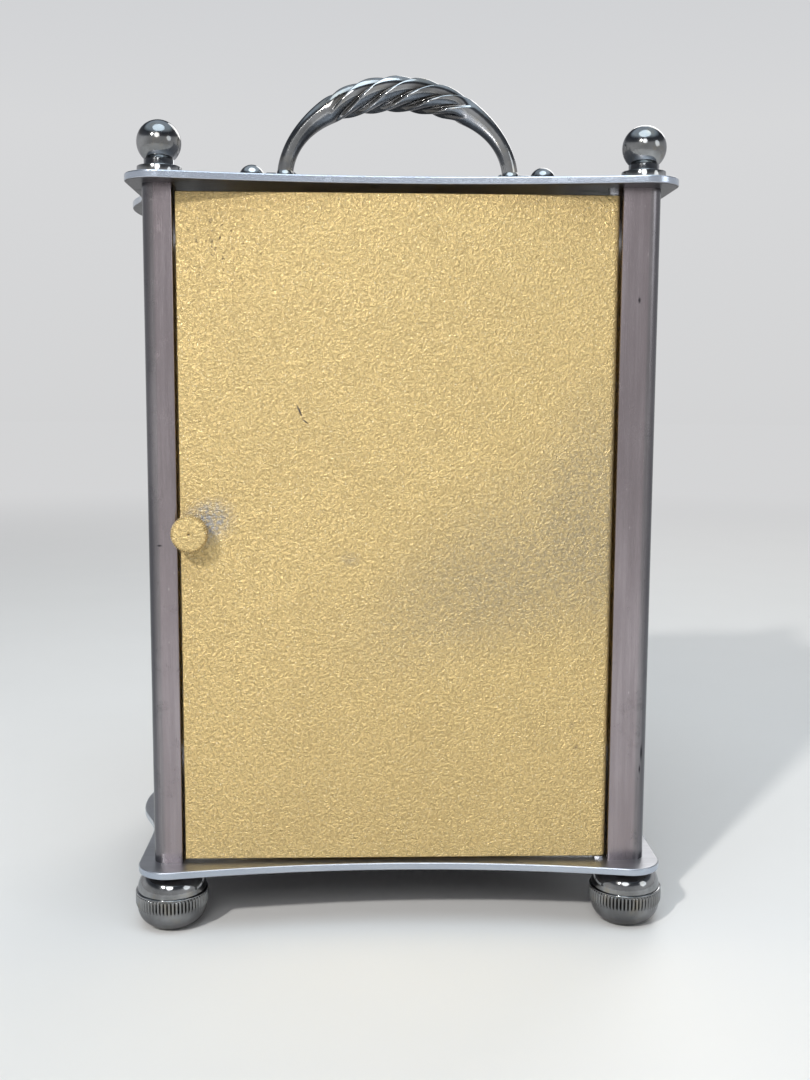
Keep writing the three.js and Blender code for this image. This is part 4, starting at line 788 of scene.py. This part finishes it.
def foot_profile():
    """Foot from its flat base up: bowl, fluted band under a bright rim, dome and neck."""
    radius = FOOT_RADIUS - INSIDE
    body = radius - 0.35
    rim_low, rim_high = 9.45, 10.0
    profile = [(0, 0), (3.2, 0), (3.45, 0.12)]
    profile += quarter(3.45, 0.12, body - 0.12, 5.6, 14, False)
    profile += [(body + 0.08, 5.9), (radius - 0.08, 6.3), (radius - 0.02, 6.8), (radius - 0.02, 7.6),
                (radius - 0.02, 8.4), (radius - 0.02, 9.2), (radius - 0.3, rim_low - 0.05)]
    profile += arc(radius - 0.3, (rim_low + rim_high) / 2, (rim_high - rim_low) / 2, -80, 80, 8)
    profile += [(body - 0.2, rim_high + 0.02)]
    profile += quarter(body - 0.2, rim_high + 0.02, 5.6, 14.9, 16, True)
    profile += [(5.9, 15.0), (6.2, 15.15), (6.2, BASE_LOW), (0, BASE_LOW)]
    return profile


class CLOCK_OT_feet(bpy.types.Operator):
    """Four turned feet with a fluted band"""
    bl_idname = "clock.feet"
    bl_label = "Feet"

    def execute(self, context):
        flutes = sizes().flutes
        depth = 0.5
        bottom, top = (5.3, 6.4), (9.15, 9.3)

        def hollow(angle, height):
            fade = smoothstep(height, *bottom) * (1 - smoothstep(height, *top))
            return fade * (1 - abs(math.sin(angle * flutes / 2)) ** 1.1)

        def fluted(radius, angle, height):
            return radius - depth * hollow(angle, height)

        first = turned("foot_fluted", foot_profile(), steps=flutes * 6, shape=fluted, smooth=50)
        grime_and_shade_on(first, [hollow(math.atan2(v.co.y, v.co.x), v.co.z / MM) for v in first.data.vertices])
        at_corners(first, "foot", 0)
        return {"FINISHED"}


class CLOCK_OT_finials(bpy.types.Operator):
    """Four finials: a wide collar, a narrower ring, a neck and a ball"""
    bl_idname = "clock.finials"
    bl_label = "Finials"

    def execute(self, context):
        radius = 5.58
        neck = 3.66
        centre = BALL_TOP - TOP_HIGH - radius
        ring_top = centre - math.sqrt(radius ** 2 - neck ** 2)
        profile = [(0, 0), (5.45, 0), (5.6, 0.12), (5.6, 2.2), (5.54, 2.32), (5.4, 2.38), (4.05, 2.4),
                   (3.9, 2.43), (3.85, 2.5), (3.85, ring_top - 0.12), (3.8, ring_top - 0.03)]
        profile += ball(centre, radius, neck, 30)
        first = turned("finial_turned", profile, steps=96, smooth=40)
        at_corners(first, "finial", TOP_HIGH)
        return {"FINISHED"}


def handle_rings():
    """Rings of points along the handle, and for each point a share of grime between the strands and of
    painted shade on the underside.
    """
    half_span, arch, grip_half = HANDLE_HALF_SPAN, 24.2, 21.0
    leg, grip = 2.3, 5.0
    depth, fade = 0.3, 5.0
    strands, lay = sizes().strands, sizes().lay / MM
    per_strand, stations = 14, 240
    sides = strands * per_strand
    rings, grime_and_shade = [], []
    across = Vector((0, 1, 0))
    turn, last = 0.0, None
    for i in range(stations + 1):
        angle = math.pi * i / stations
        here = Vector((half_span * math.cos(angle), 0, arch * math.sin(angle)))
        along = Vector((-half_span * math.sin(angle), 0, arch * math.cos(angle))).normalized()
        out = across.cross(along)
        away = abs(here.x) / half_span
        swell = smoothstep(1 - away ** 1.4, 0, 1)
        radius = leg + (grip - leg) * swell
        rise = smoothstep(grip_half - abs(here.x), 0, fade)
        if last is not None and abs(here.x) < grip_half:
            turn -= (here - last).length / lay * TURN
        last = here
        ring = []
        for j in range(sides):
            strand, share = divmod(j / per_strand, 1)
            low = 1 - smoothstep(share, 0, 0.2) if share < 0.2 else ((share - 0.2) / 0.8) ** 1.5
            r = radius * (1 - depth * rise * low)
            round_angle = turn + (strand + share) * TURN / strands
            point = here + out * (r * math.cos(round_angle)) + across * (r * math.sin(round_angle))
            ring.append(point + Vector((0, 0, PIVOT_Z)))
            # painted shade: points on the underside of grip and legs are darkened, besides the grime between
            # the strands
            below = smoothstep(-out.z * math.cos(round_angle), 0.1, 0.95)
            grime_and_shade.append(max(rise * smoothstep(low, 0.35, 0.95), 0.75 * below))
        rings.append(ring)
    return rings, grime_and_shade


class CLOCK_OT_handle(bpy.types.Operator):
    """Carrying handle with smooth legs and a rope twisted grip"""
    bl_idname = "clock.handle"
    bl_label = "Handle"

    def execute(self, context):
        rings, grime_and_shade = handle_rings()
        bar = grid_piece("handle_bar", rings, 180)
        grime_and_shade_on(bar, grime_and_shade)
        dressed(bar, "plated_metal", "handle", "plated", "handle")
        for name, side in (("left", -1), ("right", 1)):
            profile = [(0, -2.3), (1.7, -2.3)] + quarter(1.7, -2.3, 3.15, 0, 10, False)
            profile += [(r, -h) for r, h in reversed(profile[:-1])]
            eye = turned(f"handle_eye_{name}", profile, "X", (side * HANDLE_HALF_SPAN, 0, PIVOT_Z), 64)
            dressed(eye, "plated_metal", "handle", "plated")
        return {"FINISHED"}


class CLOCK_OT_handle_posts(bpy.types.Operator):
    """Two ball topped posts and the pivot screws that hold the handle"""
    bl_idname = "clock.handle_posts"
    bl_label = "Handle posts"

    def execute(self, context):
        radius, neck, stub = 3.84, 2.0, 1.4
        profile = [(0, -2), (stub, -2), (stub, 0), (3.2, 0), (3.4, 0.15), (3.4, 0.62), (3.25, 0.8),
                   (2.6, 0.95), (2.15, 1.2), (neck, 1.7)]
        profile += ball(PIVOT_RISE, radius, neck, 26)
        first = turned("post_turned", profile, steps=80, smooth=40)
        screw = [(0, 29.2), (1.2, 29.2), (1.6, 29.45), (1.75, 29.8), (1.85, 30.1), (1.85, 30.2),
                 (1.0, 30.2), (1.0, 35.4), (1.6, 35.4), (1.7, 35.5), (1.7, 38.0), (1.6, 38.16),
                 (1.0, 38.16), (1.0, 40.0), (0, 40.0)]
        for name, side in (("left", -1), ("right", 1)):
            post = copy_of(first, f"handle_post_{name}_smooth", (side * POST_X, 0, TOP_HIGH))
            dressed(post, "plated_metal", "root", "plated", f"handle_post_{name}")
            turned_out = [(r, side * h) for r, h in screw]
            pin = turned(f"handle_screw_{name}_smooth", turned_out, "X", (0, 0, PIVOT_Z), 48)
            dressed(pin, "plated_metal", "root", "plated", f"handle_screw_{name}")
        bpy.data.objects.remove(first)
        return {"FINISHED"}


class CLOCK_OT_door(bpy.types.Operator):
    """Back door in crinkle lacquer, rounded at its hinge and hollowed inside"""
    bl_idname = "clock.door"
    bl_label = "Door"

    def execute(self, context):
        half = (DOOR_HIGH.y - DOOR_LOW.y) / 2
        axis_x, axis_y = DOOR_LOW.x + half, DOOR_LOW.y + half
        free = DOOR_HIGH.x
        frame_width, hollow = 3, 2
        outline = arc(axis_x, axis_y, half, 90, 270, 24)
        outline += [(free, DOOR_LOW.y), (free, DOOR_HIGH.y)]
        door = raised("back_door_smooth", outline, DOOR_LOW.z, DOOR_HIGH.z)
        bpy.ops.object.mode_set(mode="EDIT")
        bpy.ops.mesh.select_all(action="DESELECT")
        bpy.ops.object.mode_set(mode="OBJECT")
        for face in door.data.polygons:
            face.select = face.normal.y < -0.99 and face.area > 1e-3
        bpy.ops.object.mode_set(mode="EDIT")
        bpy.ops.mesh.inset(thickness=frame_width * MM, depth=0)
        bpy.ops.mesh.extrude_region_move(TRANSFORM_OT_translate={"value": (0, hollow * MM, 0)})
        face_out()
        bevelled(door, 0.3, 3, 50)
        dressed(door, "crinkle_lacquer", "door", "lacquer", "back_door")
        return {"FINISHED"}


class CLOCK_OT_knob(bpy.types.Operator):
    """Door knob with a fine serrated rim, its shaft, and the latch tongue behind the door"""
    bl_idname = "clock.knob"
    bl_label = "Knob and latch"

    def execute(self, context):
        teeth = sizes().knob_teeth
        low, high = DOOR_HIGH.y, KNOB_HIGH.y - INSIDE
        rim_low, rim_high = high - 3.25, high - 0.12
        radius = (KNOB_HIGH.x - KNOB_LOW.x) / 2 - INSIDE
        profile = [(0, KNOB_LOW.y), (1.3, KNOB_LOW.y), (1.3, low + 0.25), (2.6, low + 0.25),
                   (2.6, rim_low - 0.35), (3.0, rim_low - 0.15), (radius - 0.5, rim_low),
                   (radius - 0.1, rim_low + 0.2),
                   (radius, rim_low + 0.5), (radius, rim_low + 1.2), (radius, rim_high - 0.6),
                   (radius - 0.06, rim_high - 0.25), (radius - 0.3, rim_high), (radius - 0.5, high - 0.02),
                   (radius - 0.8, high), (2.4, high), (1.2, high), (0.62, high - 0.02), (0.36, high - 0.3),
                   (0, high - 0.36)]

        def serrated(r, angle, height):
            edge = smoothstep(r, radius - 1.0, radius - 0.3)
            edge *= smoothstep(height, rim_low - 0.05, rim_low + 0.15)
            return r - 0.4 * edge * (1 - abs(math.sin(angle * teeth / 2)) ** 0.9)

        knob = turned("door_knob_smooth", profile, "Y", (KNOB_X, 0, KNOB_Z), teeth * 6, serrated, 40)
        dressed(knob, "crinkle_lacquer_knob", "door_knob", "lacquer", "door_knob")
        length = KNOB_Z - LATCH_LOW.z
        half = (LATCH_HIGH.z - KNOB_Z) * 0.52
        boss = LATCH_HIGH.z - KNOB_Z
        below = math.degrees(math.acos(half / boss))
        outline = arc(0, 0, boss, -below, 180 + below, 32)
        outline += arc(0, -length + half, half, 180, 360, 12)
        tongue = raised("door_latch_smooth", outline, LATCH_LOW.y, LATCH_HIGH.y, "Y", 0.15, 2, 32,
                        (KNOB_X, 0, KNOB_Z))
        dressed(tongue, "brass_polished", "door_knob", "brass", "door_latch")
        return {"FINISHED"}


def stroke(foot, top, wide, low=-0.5, high=0.5):
    """Four corners of a stroke, from the middle of its foot to the middle of its top."""
    half = wide / 2
    return [(foot - half, low), (foot + half, low), (top + half, high), (top - half, high)]


def numeral_strokes(text):
    """Strokes of a Roman numeral one unit high, centred, each with its own share of extra height."""
    thick, thin, serif = 0.17, 0.05, 0.045
    widths = {"I": 0.3, "V": 0.66, "X": 0.66}
    pen = -sum(widths[letter] for letter in text) / 2
    bars = []
    for letter in text:
        left, middle, right = pen + 0.06, pen + widths[letter] / 2, pen + widths[letter] - 0.06
        strokes = {
            "I": [(middle, middle, thick)],
            "V": [(middle, left + thick / 2, thick), (middle, right - thin / 2, thin)],
            "X": [(right - thick / 2, left + thick / 2, thick), (left + thin / 2, right - thin / 2, thin)],
        }
        for foot, top, wide in strokes[letter]:
            bars.append((stroke(foot, top, wide), 1.0 if wide == thick else 0.7))
            bars.append((stroke(top, top, wide + 0.1, 0.5 - serif, 0.5), 0.4))
            if letter != "V":
                bars.append((stroke(foot, foot, wide + 0.1, -0.5, serif - 0.5), 0.4))
        pen += widths[letter]
    return bars


def dial_place(x, z, angle):
    """A point of a numeral or tick, turned clockwise from twelve about the dial's centre."""
    c, s = math.cos(angle), math.sin(angle)
    return (x * c + z * s, DIAL_Z + z * c - x * s)


class CLOCK_OT_dial(bpy.types.Operator):
    """Enamel dial with Roman numerals, a minute track and a thin brass bezel"""
    bl_idname = "clock.dial"
    bl_label = "Dial"

    def execute(self, context):
        face, back = DISC_LOW.y, DISC_HIGH.y
        radius = (DISC_HIGH.x - DISC_LOW.x) / 2 - INSIDE
        profile = [(3.0, back), (3.0, face + 0.1), (3.15, face + 0.02), (3.4, face), (12, face), (24, face),
                   (36, face), (radius - 0.6, face), (radius - 0.15, face + 0.12), (radius, face + 0.4),
                   (radius, back), (3.0, back)]
        disc = turned("dial_disc_smooth", profile, "Y", (0, 0, DIAL_Z), 160)
        dressed(disc, "dial_enamel", "root", "dial", "dial_disc")
        rim = [(0.1, back - 0.02), (0.1, face - 0.1), (0.3, face - 0.35), (0.7, face - 0.4),
               (1.2, face - 0.2), (1.7, back - 0.3), (1.8, back - 0.02), (0.1, back - 0.02)]
        rim = [(radius + out, height) for out, height in rim]
        bezel = turned("dial_bezel", rim, "Y", (0, 0, DIAL_Z), 160, smooth=50)
        dressed(bezel, "brass_polished", "root", "dial_brass")
        height, narrow = sizes().numeral / MM, 0.92
        ink = 0.03
        buried = face + ink
        bars = []
        for hour, text in enumerate("XII I II III IIII V VI VII VIII IX X XI".split()):
            for points, extra in numeral_strokes(text):
                angle = TURN * hour / 12
                placed = [dial_place(x * height * narrow, z * height + NUMERAL_RING, angle)
                          for x, z in points]
                bars.append((placed, ink * (1 + extra)))
        dressed(bars_piece("dial_numerals", bars, face, buried), "dial_ink", "root", "dial")
        bars = []
        for minute in range(60):
            wide, reach = (0.42, 1.75) if minute % 5 == 0 else (0.16, 1.4)
            top = MINUTE_RING + reach
            corners = ((-wide, MINUTE_RING), (wide, MINUTE_RING), (wide, top), (-wide, top))
            placed = [dial_place(x / 2, z, TURN * minute / 60) for x, z in corners]
            bars.append((placed, ink * 1.2))
        dressed(bars_piece("dial_minutes", bars, face, buried), "dial_ink", "root", "dial")
        for name, ring in (("outer", MINUTE_RING + 1.65), ("inner", MINUTE_RING - 0.1)):
            outer = ring + 0.16
            line = [(ring, buried), (ring, face - ink), (outer, face - ink), (outer, buried), (ring, buried)]
            track = turned(f"dial_track_{name}", line, "Y", (0, 0, DIAL_Z), 240, smooth=20)
            dressed(track, "dial_ink", "root", "dial")
        return {"FINISHED"}


def hand_outline(length, width, boss, tip):
    """Outline of a tapering hand with a pierced looking shoulder and a round boss."""
    root = width * 0.26
    shoulder = length * 0.62
    angle = math.degrees(math.asin(root / boss))
    right = [(root, boss * math.cos(math.radians(angle))), (width * 0.2, shoulder * 0.7)]
    right += bezier((width * 0.2, shoulder * 0.7), (width * 0.22, shoulder * 0.86),
                    (width * 0.5, shoulder * 0.88), (width * 0.5, shoulder), 8)
    right += bezier((width * 0.5, shoulder), (width * 0.5, shoulder * 1.12), (tip, shoulder * 1.2),
                    (tip, length), 10)
    left = [(-x, y) for x, y in reversed(right)]
    return right + left + arc(0, 0, boss, 90 + angle, 450 - angle, 40)[1:-1]


class CLOCK_OT_hands(bpy.types.Operator):
    """Blued steel hour and minute hands with polished collets"""
    bl_idname = "clock.hands"
    bl_label = "Hands"

    def execute(self, context):
        layers = (("hour", 26.9, 5.6, 3.8, 305), ("minute", 38.9, 4.4, 3.1, 60))
        for name, length, width, boss, angle in layers:
            low, high = corners_of(f"{name}_hand")
            outline = hand_outline(length, width, boss, 0.16)
            c, s = math.cos(math.radians(angle)), math.sin(math.radians(angle))
            placed = [(x * c + y * s, y * c - x * s) for x, y in outline]
            hand = raised(f"{name}_hand_smooth", placed, low.y, high.y, "Y", 0.12, 2, 40, (0, 0, DIAL_Z))
            dressed(hand, "blued_steel", name, "blued", f"{name}_hand")
        front = corners_of("minute_hand")[0].y
        tip = corners_of("centre_wheel")[0].y
        profile = [(0, tip - 0.35), (0.7, tip - 0.3), (1.25, tip), (1.5, front - 0.12), (1.5, front),
                   (0, front)]
        collet = turned("hand_collet", profile, "Y", (0, 0, DIAL_Z), 48, smooth=40)
        dressed(collet, "brass_polished", "minute", "brass")
        return {"FINISHED"}


def slotted_screw(name, radius, height, low, place, angle):
    """A domed screw head that faces +Y, with a slot cut across it."""
    profile = [(0, low), (radius, low), (radius, low + height * 0.55)]
    profile += quarter(radius, low + height * 0.55, 0.0, low + height, 8, True)
    head = turned(name, profile, "Y", (0, 0, 0), 48, smooth=40)
    begin()
    bpy.ops.mesh.primitive_cube_add(size=1, location=(0, (low + height) * MM, 0))
    blade = bpy.context.object
    blade.scale = (radius * 2.4 * MM, height * 0.9 * MM, radius * 0.3 * MM)
    activate(head)
    slot = head.modifiers.new("slot", "BOOLEAN")
    slot.operation = "DIFFERENCE"
    slot.object = blade
    bpy.ops.object.modifier_apply(modifier=slot.name)
    bpy.data.objects.remove(blade)
    head.data.transform(Matrix.Translation(Vector(place) * MM) @ Matrix.Rotation(angle, 4, "Y"))
    return head


class CLOCK_OT_movement(bpy.types.Operator):
    """Finishes of the going train, and its screws, jewels and hairspring"""
    bl_idname = "clock.movement"
    bl_label = "Movement"

    def execute(self, context):
        finishes = {
            "brass_grained": ["movement_front_plate", "movement_back_plate", "mounting_bar_left",
                              "mounting_bar_right", "escapement_platform", "escapement_case"],
            "brass_polished": ["mainspring_barrel", "winding_key", "centre_wheel", "setting_knob",
                               "third_wheel", "minute_wheel", "hour_wheel", "balance_wheel"],
            "dial_brass_grained": ["dial_plate"],
            "bright_steel": ["hinge_pin_bottom", "hinge_pin_top", "base_screw_left", "base_screw_right",
                             "barrel_arbor", "ratchet_wheel", "click", "click_screw", "cannon_pinion",
                             "balance_cock"] + [f"tie_rod_{corner}" for corner in CORNERS],
            "clear_glass": ["glass_front", "glass_right", "glass_left"],
        }
        for material, nodes in finishes.items():
            for node in nodes:
                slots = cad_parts[node].data.materials
                slots.clear()
                slots.append(bpy.data.materials[material])
        level = BACK_PLATE_HIGH.y
        inset_x, inset_z = 6, 8
        spots = [(x, z) for x in (BACK_PLATE_LOW.x + inset_x, BACK_PLATE_HIGH.x - inset_x)
                 for z in (BACK_PLATE_LOW.z + inset_z, BACK_PLATE_HIGH.z - inset_z)]
        for number, (x, z) in enumerate(spots):
            slot_angle = 0.7 + number * 1.9
            screw = slotted_screw(f"plate_screw_{number}", 2.6, 1.3, level, (x, 0, z), slot_angle)
            dressed(screw, "blued_steel", "root", "blued")
        x, _, z = middle_of("third_wheel")
        profile = [(0, -0.2), (1.9, -0.2), (1.9, 0.1), (1.7, 0.22), (0.9, 0.22), (0.55, 0.12), (0, 0.1)]
        jewel = turned("third_jewel", [(r, level + h) for r, h in profile], "Y", (x, 0, z), 40)
        dressed(jewel, "jewel_ruby", "root", "brass")
        self.hairspring()
        return {"FINISHED"}

    def hairspring(self):
        """A flat spiral of blued ribbon under the balance."""
        centre_x, centre_y, _ = middle_of("balance_wheel")
        level = corners_of("escapement_platform")[1].z + 7.9
        turns, steps = 9, 40
        innermost, growth = 1.45, 4.6
        ribbon = ((-0.05, -0.22), (0.05, -0.22), (0.05, 0.22), (-0.05, 0.22))
        rings = []
        for i in range(turns * steps + 1):
            angle = TURN * i / steps
            radius = innermost + growth * i / (turns * steps)
            c, s = math.cos(angle), math.sin(angle)
            rings.append([(centre_x + (radius + u) * c, centre_y + (radius + u) * s, level + v)
                          for u, v in ribbon])
        dressed(grid_piece("hairspring", rings, 40), "blued_steel", "balance", "steel")


class CLOCK_OT_stage(bpy.types.Operator):
    """Pale floor, soft lamps, pale surroundings and the camera at the photograph's angle"""
    bl_idname = "clock.stage"
    bl_label = "Stage"

    def execute(self, context):
        begin()
        just_under = (0, 0, -0.00002)
        bpy.ops.mesh.primitive_circle_add(vertices=96, radius=6, fill_type="NGON", location=just_under)
        floor = finished(bpy.context.object, "floor", 0)
        surface = Finish("pale_floor", 0.0, 0.75)
        weave = surface.noise(surface.grid((0.02, 0.02, 0.02)), 1.0, 3.0)
        tone = colours().floor
        surface.set(colour=surface.blend(weave, rgb(tone, 0.985), rgb(tone, 1.015)))
        share = surface.times(surface.span(surface.length(surface.place), 0.3, 1.5), surface.seen())
        haze = surface.node("ShaderNodeEmission", {"Color": HORIZON}).outputs[0]
        both = surface.node("ShaderNodeMixShader", {0: share, 1: surface.shader.outputs[0], 2: haze})
        surface.feed(surface.tree.nodes["Material Output"].inputs["Surface"], both.outputs[0])
        floor.data.materials.append(surface.material)
        self.surroundings()
        self.lamp("key", (0.62, 1.1, 0.95), 0.08, 13.0, (1.0, 0.985, 0.95))
        self.lamp("sheen", (0.1, 1.0, 0.72), 0.45, 2.6, (0.98, 0.99, 1.0))
        self.lamp("fill", (-0.95, 0.6, 0.5), 0.5, 1.2, (0.93, 0.97, 1.0))
        self.lamp("front", (-0.45, -1.0, 0.9), 0.8, 5.2, (1.0, 0.99, 0.96))
        self.lamp("overhead", (0.0, 0.35, 1.1), 0.8, 4.8, (0.76, 0.9, 1.0))
        self.camera()
        context.scene.view_settings.view_transform = "Standard"
        return {"FINISHED"}

    def surroundings(self):
        """Weak even light, and pale surroundings with a dark band that only the camera sees."""
        world = bpy.context.scene.world or bpy.data.worlds.new("surroundings")
        bpy.context.scene.world = world
        world.use_nodes = True
        world.node_tree.nodes.clear()
        sky = Nodes(world.node_tree)
        direction = sky.node("ShaderNodeTexCoord").outputs["Generated"]
        height = sky.node("ShaderNodeSeparateXYZ", {0: direction}).outputs["Z"]
        height = sky.node("ShaderNodeMapRange", {"Value": height, "From Min": -1.0}).outputs["Result"]
        ramp = sky.node("ShaderNodeValToRGB", {"Fac": height})
        stops = ramp.color_ramp.elements
        stops[0].position, stops[0].color = 0.0, (0.4, 0.395, 0.39, 1)
        stops[1].position, stops[1].color = 1.0, (0.8, 0.9, 1.0, 1)
        for position, colour in (
                (0.5, HORIZON), (0.6, (0.68, 0.685, 0.695, 1)), (0.67, (0.62, 0.63, 0.65, 1)),
                (0.72, (0.15, 0.16, 0.18, 1)), (0.83, (0.08, 0.09, 0.11, 1)), (0.9, (0.7, 0.83, 0.95, 1))):
            stops.new(position).color = colour
        light = sky.node("ShaderNodeBackground", {"Color": (0.93, 0.96, 1.0, 1), "Strength": 0.2})
        seen = sky.node("ShaderNodeBackground", {"Color": ramp.outputs["Color"], "Strength": 1.0})
        shaders = {0: sky.seen(), 1: light.outputs[0], 2: seen.outputs[0]}
        both = sky.node("ShaderNodeMixShader", shaders)
        sky.node("ShaderNodeOutputWorld", {"Surface": both.outputs[0]})

    def lamp(self, name, place, size, power, tint):
        begin()
        bpy.ops.object.light_add(type="AREA", location=place)
        lamp = bpy.context.object
        lamp.name = f"{name}_lamp"
        lamp.data.shape = "DISK"
        lamp.data.size = size
        lamp.data.energy = power
        lamp.data.color = tint
        aim = Vector((0, 0, 0.11)) - Vector(place)
        lamp.rotation_euler = aim.to_track_quat("-Z", "Y").to_euler()

    def camera(self):
        begin()
        bpy.ops.object.camera_add(location=(0.01007, 0.36755, 0.14197))
        camera = bpy.context.object
        camera.name = "photograph_camera"
        camera.data.sensor_width = 36
        camera.data.lens = 40.91
        camera.data.clip_start = 0.01
        pitch, yaw, roll = (math.radians(v) for v in (6.771, -1.973, 0.276))
        level = math.cos(pitch)
        ahead = Vector((math.sin(yaw) * level, -math.cos(yaw) * level, -math.sin(pitch)))
        right = Vector((-math.cos(yaw), -math.sin(yaw), 0))
        up = right.cross(ahead)
        c, s = math.cos(roll), math.sin(roll)
        axes = Matrix((c * right + s * up, c * up - s * right, -ahead)).transposed()
        camera.rotation_euler = axes.to_euler()
        bpy.context.scene.camera = camera


class CLOCK_PT_panel(bpy.types.Panel):
    """Operators, sizes and colours of the bracket clock"""
    bl_idname = "CLOCK_PT_panel"
    bl_label = "Bracket clock"
    bl_space_type = "VIEW_3D"
    bl_region_type = "UI"
    bl_category = "Bracket clock"

    def draw(self, context):
        for group in (context.scene.bracket_clock_sizes, context.scene.bracket_clock_colours):
            column = self.layout.column()
            for name in group.__annotations__:
                column.prop(group, name)
        for operator in OPERATORS:
            self.layout.operator(operator.bl_idname)


GROUPS = (ClockSizes, ClockColours)
OPERATORS = (
    CLOCK_OT_finishes, CLOCK_OT_plates, CLOCK_OT_pillars, CLOCK_OT_feet, CLOCK_OT_finials, CLOCK_OT_handle,
    CLOCK_OT_handle_posts, CLOCK_OT_door, CLOCK_OT_knob, CLOCK_OT_dial, CLOCK_OT_hands, CLOCK_OT_movement,
    CLOCK_OT_stage,
)


def register():
    for cls in (*GROUPS, *OPERATORS, CLOCK_PT_panel):
        bpy.utils.register_class(cls)
    bpy.types.Scene.bracket_clock_sizes = PointerProperty(type=ClockSizes)
    bpy.types.Scene.bracket_clock_colours = PointerProperty(type=ClockColours)


def unregister():
    del bpy.types.Scene.bracket_clock_colours
    del bpy.types.Scene.bracket_clock_sizes
    for cls in reversed((*GROUPS, *OPERATORS, CLOCK_PT_panel)):
        bpy.utils.unregister_class(cls)


def main():
    register()
    bpy.ops.clock.finishes()
    bpy.ops.clock.plates()
    bpy.ops.clock.pillars()
    bpy.ops.clock.feet()
    bpy.ops.clock.finials()
    bpy.ops.clock.handle()
    bpy.ops.clock.handle_posts()
    bpy.ops.clock.door()
    bpy.ops.clock.knob()
    bpy.ops.clock.dial()
    bpy.ops.clock.hands()
    bpy.ops.clock.movement()
    bpy.ops.clock.stage()


if __name__ == "__main__":
    main()
